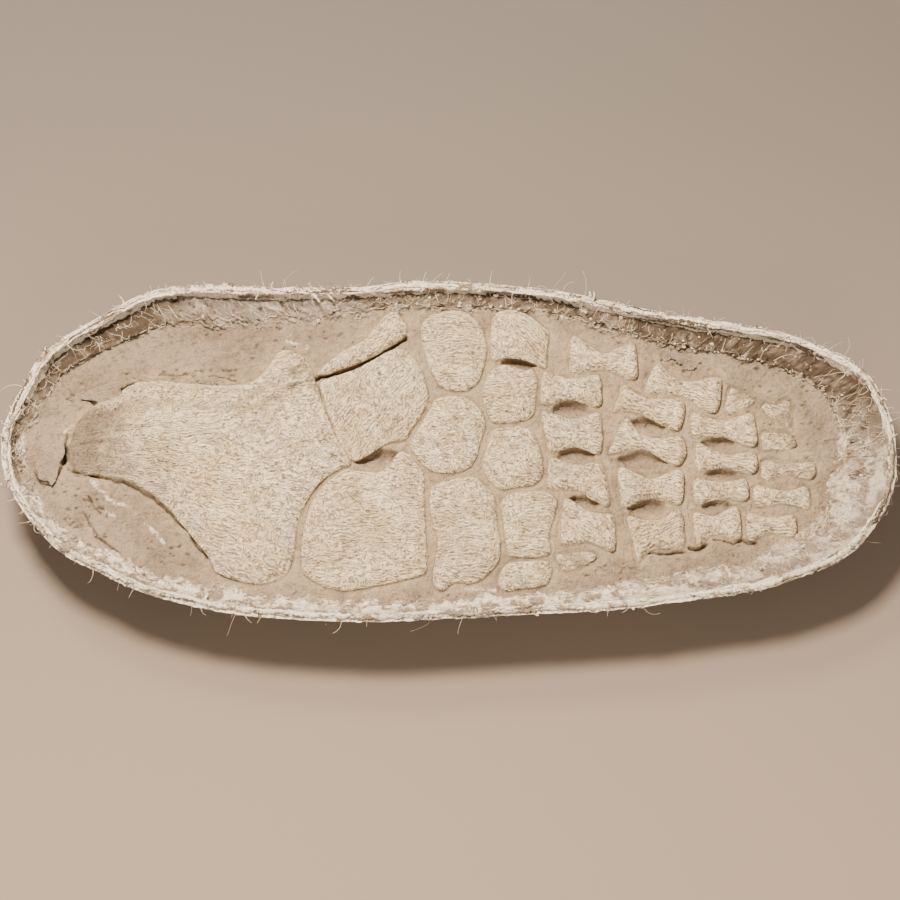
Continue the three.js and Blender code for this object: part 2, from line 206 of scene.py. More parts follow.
def make_object(name, vertices, faces, material, attributes=None, shade_smooth=True):
    mesh = bpy.data.meshes.new(name)
    mesh.from_pydata([tuple(v) for v in np.asarray(vertices) * MM], [], faces)
    mesh.update()
    for key, values in (attributes or {}).items():
        values = np.asarray(values, np.float32)
        if values.ndim == 1:
            layer = mesh.attributes.new(key, "FLOAT", "POINT")
            layer.data.foreach_set("value", values)
        else:
            layer = mesh.attributes.new(key, "FLOAT_VECTOR", "POINT")
            layer.data.foreach_set("vector", values.ravel())
    mesh.polygons.foreach_set("use_smooth", [shade_smooth] * len(mesh.polygons))
    mesh.materials.append(material)
    piece = bpy.data.objects.new(name, mesh)
    bpy.context.scene.collection.objects.link(piece)
    return piece


def grid_faces(rows, columns):
    """Quads of a grid stored row by row, closed along each row."""
    r, c = np.meshgrid(np.arange(rows - 1), np.arange(columns), indexing="ij")
    n = (c + 1) % columns
    quads = np.stack([r * columns + c, r * columns + n, (r + 1) * columns + n,
                      (r + 1) * columns + c], -1)
    return quads.reshape(-1, 4).tolist()


def fan_faces(start, count, centre, up):
    if up:
        return [(centre, start + i, start + (i + 1) % count) for i in range(count)]
    return [(centre, start + (i + 1) % count, start + i) for i in range(count)]


def capped_grid(grid, foot, apex):
    """Vertices and faces of a grid of closed rows, with a fan to a point at either end."""
    rows, count = grid.shape[:2]
    total = rows * count
    vertices = np.concatenate([grid.reshape(-1, 3), [foot, apex]])
    faces = grid_faces(rows, count)
    faces += fan_faces(0, count, total, False)
    faces += fan_faces(total - count, count, total + 1, True)
    return vertices, faces


def swept_faces(rows, sides):
    """Faces of a closed bar swept along a path, with its two ends."""
    faces = grid_faces(rows, sides)
    faces.append(tuple(range(sides))[::-1])
    faces.append(tuple((rows - 1) * sides + i for i in range(sides)))
    return faces


class Heap:
    """Gathers many small shapes into one mesh."""

    def __init__(self):
        self.vertices = []
        self.faces = []
        self.attributes = {}
        self.size = 0

    def add(self, points, faces, **attributes):
        self.vertices.append(points)
        self.faces += [tuple(self.size + i for i in face) for face in faces]
        self.size += len(points)
        for key, values in attributes.items():
            self.attributes.setdefault(key, []).append(values)

    def make(self, name, material, slot, shade_smooth=True):
        joined = {key: np.concatenate(values) for key, values in self.attributes.items()}
        piece = make_object(name, np.concatenate(self.vertices), self.faces, material, joined,
                            shade_smooth)
        finish_piece(piece, slot)


def finish_piece(piece, slot, *nodes):
    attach(piece, "root")
    if nodes:
        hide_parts(*nodes)


# Materials

class Shader:
    """Short calls for building one node material."""

    def __init__(self, name, roughness):
        self.material = bpy.data.materials.new(name)
        self.material.use_nodes = True
        self.tree = self.material.node_tree
        self.surface = self.tree.nodes["Principled BSDF"]
        self.surface.inputs["Roughness"].default_value = roughness
        self.surface.inputs["Specular IOR Level"].default_value = 0.25
        self.position = self.tree.nodes.new("ShaderNodeTexCoord").outputs["Object"]
        self.colour = None
        self.normal = None

    def link(self, source, target):
        self.tree.links.new(source, target)

    def attribute(self, name, kind="Fac"):
        node = self.tree.nodes.new("ShaderNodeAttribute")
        node.attribute_name = name
        return node.outputs[kind]

    def noise(self, size, detail=4.0, rough=0.55, where=None, distortion=0.0):
        node = self.tree.nodes.new("ShaderNodeTexNoise")
        node.inputs["Scale"].default_value = 1000.0 / size
        node.inputs["Detail"].default_value = detail
        node.inputs["Roughness"].default_value = rough
        node.inputs["Distortion"].default_value = distortion
        self.link(where or self.position, node.inputs["Vector"])
        return node.outputs["Fac"]

    def voronoi(self, size, feature="F1", where=None):
        node = self.tree.nodes.new("ShaderNodeTexVoronoi")
        node.feature = feature
        node.inputs["Scale"].default_value = 1000.0 / size
        self.link(where or self.position, node.inputs["Vector"])
        return node.outputs["Distance"]

    def stretch(self, vector, factors):
        node = self.tree.nodes.new("ShaderNodeVectorMath")
        node.operation = "MULTIPLY"
        self.link(vector, node.inputs[0])
        node.inputs[1].default_value = factors
        return node.outputs["Vector"]

    def warped(self, size):
        """The object position pushed about by noise, so that edges wander."""
        node = self.tree.nodes.new("ShaderNodeTexNoise")
        node.inputs["Scale"].default_value = 1000.0 / (size * 3)
        node.inputs["Detail"].default_value = 4.0
        self.link(self.position, node.inputs["Vector"])
        push = self.stretch(node.outputs["Color"], (size * MM, size * MM, size * MM))
        total = self.tree.nodes.new("ShaderNodeVectorMath")
        total.operation = "ADD"
        self.link(self.position, total.inputs[0])
        self.link(push, total.inputs[1])
        return total.outputs["Vector"]

    def ramp(self, value, low, high, start=0.0, end=1.0):
        node = self.tree.nodes.new("ShaderNodeMapRange")
        node.interpolation_type = "SMOOTHSTEP"
        self.link(value, node.inputs["Value"])
        node.inputs["From Min"].default_value = low
        node.inputs["From Max"].default_value = high
        node.inputs["To Min"].default_value = start
        node.inputs["To Max"].default_value = end
        return node.outputs["Result"]

    def math(self, operation, a, b):
        node = self.tree.nodes.new("ShaderNodeMath")
        node.operation = operation
        for socket, value in zip(node.inputs, (a, b)):
            if isinstance(value, (int, float)):
                socket.default_value = value
            else:
                self.link(value, socket)
        return node.outputs["Value"]

    def mix(self, factor, a, b):
        node = self.tree.nodes.new("ShaderNodeMix")
        node.data_type = "RGBA"
        colours = [s for s in node.inputs if s.type == "RGBA"]
        self.link(factor, node.inputs["Factor"])
        for socket, value in zip(colours, (a, b)):
            if isinstance(value, tuple):
                socket.default_value = (*value, 1.0)
            else:
                self.link(value, socket)
        return [s for s in node.outputs if s.type == "RGBA"][0]

    def times(self, a, b):
        return self.math("MULTIPLY", a, b)

    def base(self, factor, a, b):
        """Starts the colour as a mixture of two."""
        self.colour = self.mix(factor, a, b)

    def paint(self, factor, colour):
        """Lays a colour over what is there, as far as the factor says."""
        self.colour = self.mix(factor, self.colour, colour)

    def bump(self, height, distance, strength=1.0):
        """Adds relief of that depth, in millimetres, over the bumps that are there."""
        node = self.tree.nodes.new("ShaderNodeBump")
        node.inputs["Strength"].default_value = strength
        node.inputs["Distance"].default_value = distance * MM
        self.link(height, node.inputs["Height"])
        if self.normal is not None:
            self.link(self.normal, node.inputs["Normal"])
        self.normal = node.outputs["Normal"]

    def done(self):
        self.link(self.colour, self.surface.inputs["Base Color"])
        self.link(self.normal, self.surface.inputs["Normal"])
        return self.material


SEDIMENT_TAN = (0.295, 0.212, 0.137)
SEDIMENT_PALE = (0.43, 0.322, 0.215)
SEDIMENT_DARK = (0.095, 0.06, 0.035)
BONE_CREAM = (0.70, 0.52, 0.295)
BONE_PALE = (0.95, 0.77, 0.50)
BONE_TAN = (0.30, 0.205, 0.115)
BONE_GREY = (0.37, 0.315, 0.295)
PORE_BROWN = (0.15, 0.10, 0.06)
PLASTER_WHITE = (0.95, 0.82, 0.62)
PLASTER_STAIN = (0.32, 0.235, 0.155)
PLASTER_DARK = (0.09, 0.06, 0.035)
BURLAP_GREY = (0.36, 0.30, 0.25)
FIBRE_PALE = (0.78, 0.68, 0.52)
FIBRE_TAN = (0.45, 0.33, 0.21)
FLOOR_FRONT = (0.305, 0.235, 0.175)
FLOOR_BACK = (0.115, 0.097, 0.081)


def sediment_colour(shader):
    broad = shader.ramp(shader.noise(70, 5, 0.6), 0.34, 0.66)
    colour = shader.mix(broad, SEDIMENT_TAN, SEDIMENT_PALE)
    # On the sediment this lumps noise is the very noise of its 10 mm bump, so these two paints are
    # partly mottled colour and partly painted shade in the low spots and painted highlight on the
    # high ones.
    lumps = shader.noise(10, 6, 0.65)
    colour = shader.mix(shader.ramp(lumps, 0.34, 0.5, 0.3, 0.0), colour, SEDIMENT_DARK)
    colour = shader.mix(shader.ramp(lumps, 0.54, 0.72, 0.0, 0.7), colour, SEDIMENT_PALE)
    scratch = shader.noise(4.5, 3, 0.6, None, 2.5)
    colour = shader.mix(shader.ramp(scratch, 0.60, 0.72, 0.0, 0.8), colour, SEDIMENT_PALE)
    grit = shader.noise(3.2, 4, 0.68)
    return shader.mix(shader.ramp(grit, 0.58, 0.70, 0.0, 0.7), colour, SEDIMENT_DARK)


def sediment_material():
    shader = Shader("sediment_matte", 0.95)
    shader.colour = sediment_colour(shader)
    dust = shader.ramp(shader.noise(9, 5, 0.65), 0.34, 0.60, 0.35, 1.0)
    shader.paint(shader.times(shader.attribute("cream"), dust), BONE_CREAM)
    # Painted shade: the hollow mask darkens the pits, cracks and pulled-out holes, the groove round
    # each bone, the chips' sides and the loose grains.
    shader.paint(shader.ramp(shader.attribute("hollow"), 0.0, 1.0, 0.0, 0.6), SEDIMENT_DARK)
    chalk = shader.ramp(shader.noise(5.5, 5, 0.7), 0.40, 0.58)
    shader.paint(shader.times(shader.attribute("chalk"), chalk), PLASTER_WHITE)
    shader.bump(shader.noise(3.0, 4, 0.7), 3.4)
    shader.bump(shader.noise(10, 6, 0.65), 9.0)
    return shader.done()


def worm_lines(shader, grain):
    """Short curling grooves: they run with the grain in some places and in rings in others."""
    parts = shader.tree.nodes.new("ShaderNodeSeparateXYZ")
    shader.link(grain, parts.inputs["Vector"])
    lanes = shader.times(parts.outputs["Y"], 2 * math.pi / (4.2 * MM))
    drift = shader.times(shader.noise(17, 2, 0.5), 26.0)
    fan = shader.math("SINE", shader.math("ADD", lanes, drift), 0.0)
    rings = shader.math("SINE", shader.times(shader.noise(20, 1.5, 0.5), 74.0), 0.0)
    turned = shader.ramp(shader.noise(65, 3, 0.55), 0.44, 0.56)
    worms = shader.math("ADD", shader.times(fan, turned),
                        shader.times(rings, shader.math("SUBTRACT", 1.0, turned)))
    broken = shader.ramp(shader.noise(7.5, 3, 0.6), 0.40, 0.54, 0.15, 1.0)
    return shader.times(shader.ramp(worms, -0.1, 0.9), broken)


def bone_material():
    shader = Shader("bone_matte", 0.82)
    grain = shader.attribute("grain", "Vector")
    shader.base(shader.ramp(shader.noise(48, 6, 0.65), 0.38, 0.62), BONE_CREAM, BONE_PALE)
    shader.paint(shader.ramp(shader.noise(24, 6, 0.68), 0.53, 0.70, 0.0, 0.65), BONE_TAN)
    veins = shader.ramp(shader.noise(7, 5, 0.65, None, 1.2), 0.44, 0.60)
    shader.paint(shader.times(shader.attribute("greyed"), veins), BONE_GREY)
    # Painted highlight: a paler band just inside each bone's rounded edge.
    shader.paint(shader.attribute("lip"), BONE_PALE)
    strokes = shader.noise(3.1, 3, 0.6, shader.stretch(grain, (0.30, 1.0, 1.0)), 0.6)
    # The strokes also make the bump below, so these paints are partly the grain's own darker and
    # paler streaks and partly painted shade in the pressed-down strokes and painted highlight on
    # the ridges between them.
    shader.paint(shader.ramp(strokes, 0.54, 0.66, 0.0, 0.85), BONE_TAN)
    shader.paint(shader.ramp(strokes, 0.66, 0.74, 0.0, 0.6), PORE_BROWN)
    shader.paint(shader.ramp(strokes, 0.36, 0.46, 0.7, 0.0), BONE_PALE)
    worms = worm_lines(shader, grain)
    # Partly the worm lines' own tan colour, partly painted shade in the same grooves that the bump
    # presses in.
    shader.paint(shader.times(worms, 0.68), BONE_TAN)
    pores = shader.voronoi(6.5, "F1", shader.stretch(grain, (0.55, 1.0, 1.0)))
    thinning = shader.ramp(shader.noise(30, 4), 0.38, 0.62, 0.08, 0.25)
    pore_mask = shader.math("LESS_THAN", pores, thinning)
    # Dark pores: partly their own colour, partly painted shade in the pits that the bump presses
    # in.
    shader.paint(shader.times(pore_mask, 0.6), PORE_BROWN)
    crackle = shader.voronoi(26, "DISTANCE_TO_EDGE", shader.warped(7.0))
    sparse = shader.ramp(shader.noise(22, 3), 0.52, 0.64)
    crackle_mask = shader.times(shader.ramp(crackle, 0.010, 0.035, 0.5, 0.0), sparse)
    # Crackle lines: partly their own colour, partly painted shade in the cracks that the bump
    # presses in.
    shader.paint(crackle_mask, PORE_BROWN)
    # Sediment colour where sediment sticks to the bone and on its buried side walls, and painted
    # shade in the humerus's furrow and pit.
    shader.paint(shader.attribute("crust_and_shade"), sediment_colour(shader))
    # Painted shade in the fine cracks and on the bone's side walls under its edge.
    shader.paint(shader.attribute("crack_and_wall_shade"), SEDIMENT_DARK)
    shader.bump(shader.times(strokes, -1.0), 6.0)
    shader.bump(shader.times(pore_mask, -1.0), 1.4, 0.9)
    shader.bump(shader.times(crackle_mask, -1.0), 1.6, 0.8)
    shader.bump(shader.times(worms, -1.0), 2.6)
    shader.bump(shader.noise(7, 5, 0.65), 5.5)
    return shader.done()


def plaster_material(name, stain_low, stain_high):
    """Dirty plaster on burlap; it stains where the noise passes from the low to the high value."""
    shader = Shader(name, 0.9)
    cloth = shader.attribute("cloth", "Vector")
    bare = shader.times(shader.attribute("bare"), 0.34)
    stained = shader.ramp(shader.math("ADD", shader.noise(16, 6, 0.68), bare),
                          stain_low, stain_high)
    shader.base(stained, PLASTER_WHITE, PLASTER_STAIN)
    strands = shader.noise(2.6, 3, 0.6, shader.stretch(cloth, (0.14, 1.0, 1.0)), 0.8)
    threads = shader.noise(2.4, 2, 0.5, shader.stretch(cloth, (1.0, 0.16, 1.0)), 0.5)
    shader.paint(shader.ramp(strands, 0.53, 0.68, 0.0, 0.7), PLASTER_STAIN)
    shader.paint(shader.ramp(threads, 0.60, 0.74, 0.0, 0.55), PLASTER_WHITE)
    worn = shader.ramp(strands, 0.66, 0.46, 0.0, 0.8)
    shader.paint(shader.times(shader.attribute("greyed"), worn), BURLAP_GREY)
    shader.paint(shader.ramp(shader.noise(4.5, 5, 0.68), 0.60, 0.72, 0.0, 0.8), PLASTER_DARK)
    shader.paint(shader.attribute("soil"), sediment_colour(shader))
    # Painted shade, in the dark plaster colour, in the creases, grooves, under the lip and on the
    # strips' undersides; on the dark crumbs it only darkens their tone.
    shader.paint(shader.attribute("crease"), PLASTER_DARK)
    shader.bump(shader.math("MAXIMUM", strands, threads), 4.2)
    shader.bump(shader.noise(7, 6, 0.7), 5.5, 0.85)
    return shader.done()


def fibre_material():
    shader = Shader("sisal_fibre", 0.7)
    shader.base(shader.ramp(shader.noise(25, 3), 0.35, 0.65), FIBRE_PALE, FIBRE_TAN)
    shader.bump(shader.noise(0.8, 2), 0.1, 0.4)
    return shader.done()


def floor_material():
    """Plain pale floor, with a little painted shade that deepens its tone behind the piece."""
    shader = Shader("studio_floor", 0.9)
    place = shader.tree.nodes.new("ShaderNodeSeparateXYZ")
    shader.link(shader.position, place.inputs["Vector"])
    shader.base(shader.ramp(place.outputs["Y"], -0.9, 0.9), FLOOR_FRONT, FLOOR_BACK)
    shader.bump(shader.noise(9, 2), 0.05, 0.2)
    return shader.done()


SEDIMENT = sediment_material()
BONE = bone_material()
PLASTER = plaster_material("plaster_and_burlap", 0.58, 0.74)
CRUMB_PLASTER = plaster_material("plaster_crumb", 0.56, 0.78)
FIBRE = fibre_material()


# Jacket

RIM, RIM_MARKS, RIM_LENGTH = resample_closed(closed_curve(RIM_OUTLINE), JACKET_SIDES)
RIM_ANGLES = np.degrees(np.arctan2(RIM[:, 1] / HALF_WIDTH, RIM[:, 0] / HALF_LENGTH))


def wall_run(angles):
    """How far the inner wall runs in under the lip, by direction."""
    limits = np.array([a for a, _ in WALL_RUNS], float)
    runs = np.array([r for _, r in WALL_RUNS], float)
    index = np.clip(np.searchsorted(limits, angles), 1, len(limits) - 1)
    part = smooth(angles, limits[index - 1], limits[index])
    return runs[index - 1] + (runs[index] - runs[index - 1]) * part


RUNS = wall_run(RIM_ANGLES)
RIM_OUTWARD = np.stack([*outward_normals(RIM).T, np.zeros(len(RIM))], 1)


def inset_rim(rim, inset, more=0):
    """X and Y of rim points moved inwards; more is added along X, at the ends."""
    x = rim[..., 0] * (1 - (inset + more) / HALF_LENGTH)
    y = rim[..., 1] * (1 - inset / HALF_WIDTH)
    return x, y


def rim_noise(wave, seed, octaves=3):
    cells = max(3, round(RIM_LENGTH / wave))
    return fractal(RIM_MARKS / RIM_LENGTH * cells, np.zeros(len(RIM)), seed, octaves, 0.5, cells)


def near_direction(middle, spread):
    """1 where the rim lies in that direction from the centre, fading out over spread degrees."""
    turn = (RIM_ANGLES - middle + 180) % 360 - 180
    return np.exp(-(turn / spread) ** 2)


TURN = RIM_MARKS / RIM_LENGTH * 2 * math.pi
RIM_TOP = (
    RIM_HEIGHT + RIM_SWELL * (np.sin(3 * TURN + 0.6) + 0.6 * np.sin(7 * TURN)) / 1.6
    + 1.6 * rim_noise(70, 11) + 1.5 * rim_noise(19, 12)
    + 3.0 * near_direction(178, 14) * rim_noise(26, 13)
)
RAGGED_OUT = 1.6 * rim_noise(33, 21) + 1.3 * rim_noise(9, 22)
RAGGED_IN = 2.2 * rim_noise(28, 23) + 1.6 * rim_noise(8, 24)
LIP = LIP_INSET * (1 + 0.28 * rim_noise(90, 25) + 0.25 * near_direction(175, 22)) + RAGGED_IN
OVERHANG = np.clip(
    near_direction(140, 26) + near_direction(48, 30) + 0.7 * near_direction(95, 30), 0, 1
)


def wall_place(lip, ledge, top, overhang):
    """Inset and height of the inner wall's middle, hollowed under the lip where it overhangs."""
    slope = 0.5 * (lip + ledge) - 1.5
    height = (top - LIP_DROP + LEDGE_HEIGHT) / 2 - 2 - 3 * overhang
    return slope + (lip - 4 - slope) * overhang, height


def section_columns():
    """Control points of the jacket's section: inset, extra inset at the ends, height."""
    ledge = LIP_INSET + RUNS
    wall_inset, wall_height = wall_place(LIP, ledge, RIM_TOP, OVERHANG)
    return [
        (64, 116, 0),
        (34, 82, 13),
        (14, 36, 44),
        (4, 12, 84),
        (0.6 - 0.6 * RAGGED_OUT, 0, RIM_TOP - 9),
        (1.6 - RAGGED_OUT, 0, RIM_TOP - 2.5),
        (3.6 - 0.6 * RAGGED_OUT, 0, RIM_TOP),
        (0.52 * LIP, 0, RIM_TOP - 0.6),
        (0.80 * LIP, 0, RIM_TOP - 0.6 + 0.5 * RAGGED_IN),
        (LIP + 0.5, 0, RIM_TOP - 4),
        (LIP + 1.0, 0, RIM_TOP - LIP_DROP - 2),
        (wall_inset, 0, wall_height),
        (ledge, 0, LEDGE_HEIGHT),
        (ledge + 4, 6, 84),
        (ledge + 5, 14, 66),
        (ledge + 16, 36, 40),
        (ledge + 46, 70, 24),
    ]


# Rows of the mesh in each span of the section, and the control points where parts begin.
SECTION_FINE = [6, 14, 18, 18, 8, 6, 6, 7, 5, 4, 8, 9, 4, 2, 2, 2]
CREST_FROM = 4
INNER_FROM = 9
BELLY_SHARES = (0.3, 0.6, 0.82, 0.94)


def section_rows():
    """Points of the jacket's section all along the rim, and each row's place in the section."""
    controls = np.array([
        [np.broadcast_to(value, len(RIM)) for value in column] for column in section_columns()
    ])
    places = np.concatenate(
        [i + np.linspace(0, 1, steps, endpoint=False) for i, steps in enumerate(SECTION_FINE)]
        + [[len(SECTION_FINE)]]
    )
    rows = rows_through(controls.transpose(0, 2, 1), places)
    x, y = inset_rim(RIM, rows[..., 0], rows[..., 1])
    return np.stack([x, y, rows[..., 2]], -1), places


def grid_normals(points):
    """Outward normals of a grid of section rows, closed along the rim."""
    along = np.roll(points, -1, axis=1) - np.roll(points, 1, axis=1)
    across = np.gradient(points, axis=0)
    normal = np.cross(along, across)
    return normal / np.maximum(np.linalg.norm(normal, axis=2, keepdims=True), 1e-9)


def strip_relief(s, w, rng, count):
    """Overlapping plaster bandages laid over the rim: steps up to a few millimetres, and painted
    shade at the foot of each step.
    """
    relief = np.zeros(s.shape)
    step_shade = np.zeros(s.shape)
    for index in range(count):
        middle = (index + rng.uniform(-0.3, 0.3)) * RIM_LENGTH / count
        half = rng.uniform(42, 72)
        slant = rng.uniform(-0.35, 0.35)
        wobble = 5 * fractal(w / 30, s * 0 + index * 3.3, 300 + index, 3)
        offset = (s - middle + slant * (w - 140) + wobble + RIM_LENGTH / 2) % RIM_LENGTH
        offset = offset - RIM_LENGTH / 2
        height = rng.uniform(1.0, 2.2)
        side = half - np.abs(offset)
        relief += height * smooth(side, -1.2, 1.2) - height * 0.55
        step_shade += np.exp(-((side + 1.6) / 1.4) ** 2) * 0.6
    return relief, np.clip(step_shade, 0, 1)


def jacket_surface(s, w, place):
    """Relief in millimetres, painted shade in the creases, the groove and at the bandage steps, and
    bare cloth over the shell.
    """
    cells = round(RIM_LENGTH / 38)
    u = s / RIM_LENGTH * cells
    strips, strip_step_shade = strip_relief(s, w, np.random.default_rng(5), 30)
    crumple = ridged(u, w / 26, 41, 3, cells)
    wrinkle = ridged(u * 3, w / 7, 44, 3, cells * 3)
    grit = fractal(u * 9, w / 3.4, 47, 2, 0.6, cells * 9)
    wavy = fractal(u * 0.8, w / 60, 50, 3)
    outer = smooth(place, 0.4, 1.6) * (1 - smooth(place, CREST_FROM, CREST_FROM + 0.8))
    crest = smooth(place, CREST_FROM, CREST_FROM + 1) * (1 - smooth(place, 8.6, 9.4))
    inner = smooth(place, INNER_FROM, INNER_FROM + 1.0) * (1 - smooth(place, 12.2, 13.2))

    relief = outer * (0.6 * strips + 1.3 * wavy + 1.2 * wrinkle + 0.5 * grit)
    relief += crest * (0.45 * strips + 1.7 * wrinkle + 0.9 * grit)
    relief += inner * (4.6 * (crumple - 0.5) + 2.6 * (wrinkle - 0.5) + 1.1 * grit + 0.3 * strips)
    layers = near_direction(128, 40) + near_direction(35, 30) + near_direction(-75, 35)
    layers = smooth(layers, 0.1, 0.7)
    groove = np.exp(-((place - 7.1 - 0.35 * rim_noise(45, 61)) / 0.28) ** 2)
    relief -= 2.6 * groove * layers * (0.55 + 0.45 * rim_noise(30, 62))
    outer_groove = np.exp(-((place - 4.9 - 0.25 * rim_noise(60, 63)) / 0.22) ** 2)
    relief -= 1.6 * outer_groove * smooth(rim_noise(80, 64), -0.3, 0.4)
    relief *= smooth(place, 0.2, 1.2)

    # Painted shade in the troughs of the crumples and wrinkles, in the groove and at the foot of
    # the bandage steps.
    crease = np.clip(
        inner * smooth(-crumple, 0.25, 0.9) * 0.75 + inner * smooth(-wrinkle, 0.3, 0.9) * 0.35
        + crest * smooth(-wrinkle, 0.3, 0.95) * 0.35 + groove * layers * 0.75
        + (outer + 0.5 * crest) * strip_step_shade * 0.4, 0, 1,
    )
    # The inner wall takes the stain colour, less so on the lower slope that faces the lamps: partly
    # soil and bare cloth, partly painted shade and painted light.
    pale_slope = near_direction(-30, 38) * inner
    bare = np.clip(
        inner * (0.55 + 0.5 * fractal(u * 1.5, w / 30, 81, 3)) * (1 - 0.8 * pale_slope)
        + crest * smooth(fractal(u * 2.2, w / 14, 83, 3), 0.22, 0.5) * 0.7
        + outer * smooth(fractal(u * 0.9, w / 45, 85, 4), 0.0, 0.45) * 0.6, 0, 1,
    )
    return relief, crease, bare


def build_jacket():
    points, places = section_rows()
    step = np.linalg.norm(np.diff(points.mean(1), axis=0), axis=1)
    section = np.linalg.norm(np.diff(points, axis=0), axis=2).mean(1)
    w_line = np.concatenate([[0], np.cumsum(np.maximum(section, step))])
    shape = points.shape[:2]
    s = np.broadcast_to(RIM_MARKS, shape)
    w = np.broadcast_to(w_line[:, None], shape)
    relief, crease, bare = jacket_surface(s, w, np.broadcast_to(places[:, None], shape))
    points = points + grid_normals(points) * relief[..., None]
    points[..., 2] = np.maximum(points[..., 2], 0)

    belly = np.array([points[0] * [share, share, 0] for share in BELLY_SHARES])
    dents = 1.1 * (1 + fractal(belly[..., 0] / 60, belly[..., 1] / 60, 71, 4))
    belly[..., 2] = dents * np.array([0.8, 1.0, 0.8, 0.3])[:, None]
    vertices, faces = capped_grid(np.concatenate([belly, points]), [0, 0, 1.0], [0, 0, BOWL_FLOOR])
    belly_size = belly.shape[0] * belly.shape[1]

    def padded(values):
        return np.concatenate([np.zeros(belly_size), values.ravel(), [0, 0]])

    cloth = np.stack([padded(s), padded(w), padded(s * 0)], 1) * MM
    piece = make_object("jacket_shell", vertices, faces, PLASTER,
                        {"crease": padded(crease), "bare": padded(bare), "cloth": cloth})
    finish_piece(piece, "plaster_burlap", "plaster_jacket")
    return points, places


# Inner wall: crumpled burlap and crumbly plaster over the wall and the edge of the sediment.
# Direction, reach over the sediment, fold height, paleness, greyness and darkness; the paleness is
# partly real pale plaster and partly painted light on the lower walls that face the lamps, and the
# darkness is painted shade under the overhanging upper rim.
LINING = np.array([
    (-180, 9, 3.4, 0.35, 0.1, 0.3), (-160, 8, 3.0, 0.55, 0.0, 0.0), (-140, 11, 2.8, 0.60, 0.0, 0.0),
    (-118, 12, 2.8, 0.64, 0.0, 0.0), (-95, 10, 2.6, 0.60, 0.0, 0.0), (-70, 10, 2.6, 0.60, 0.0, 0.0),
    (-55, 14, 3.2, 0.62, 0.3, 0.0), (-30, 20, 4.4, 0.68, 0.5, 0.0), (-8, 14, 4.2, 0.68, 0.3, 0.0),
    (15, 10, 4.0, 0.30, 0.2, 0.3), (28, 8, 5.0, 0.00, 0.1, 1.0), (50, 8, 5.0, 0.00, 0.1, 1.0),
    (75, 11, 4.8, 0.10, 0.1, 0.7), (100, 11, 4.8, 0.16, 0.2, 0.6), (107, 17, 5.4, 0.36, 0.8, 0.25),
    (122, 16, 5.4, 0.32, 0.8, 0.3), (129, 4, 4.6, 0.00, 0.2, 1.1), (150, 3, 4.0, 0.00, 0.1, 1.1),
    (165, 6, 3.6, 0.20, 0.1, 0.6), (180, 9, 3.4, 0.35, 0.1, 0.3),
])
LINING_SIDES = 1700
LINING_ROWS = 44


def lining_section(sampled, reach):
    """Rows of the lining, from under the lip to below the sediment: inset and height."""
    lip = sampled(LIP)
    ledge = LIP_INSET + sampled(RUNS)
    top = sampled(RIM_TOP)
    wall, middle = wall_place(lip, ledge, top, sampled(OVERHANG))
    flat = np.ones(LINING_SIDES)
    controls = np.array([
        (lip - 3, top - LIP_DROP + 1),
        (wall + 1.5, middle),
        (ledge + 1, flat * (LEDGE_HEIGHT + 1.5)),
        (ledge + 0.5 * reach, flat * (SEDIMENT_LEVEL + 3.4)),
        (ledge + reach, flat * (SEDIMENT_LEVEL + 0.6)),
        (ledge + reach + 4, flat * (SEDIMENT_LEVEL - 5)),
    ])
    places = np.linspace(0, len(controls) - 1 - 1e-6, LINING_ROWS)
    return rows_through(controls.transpose(0, 2, 1), places), places


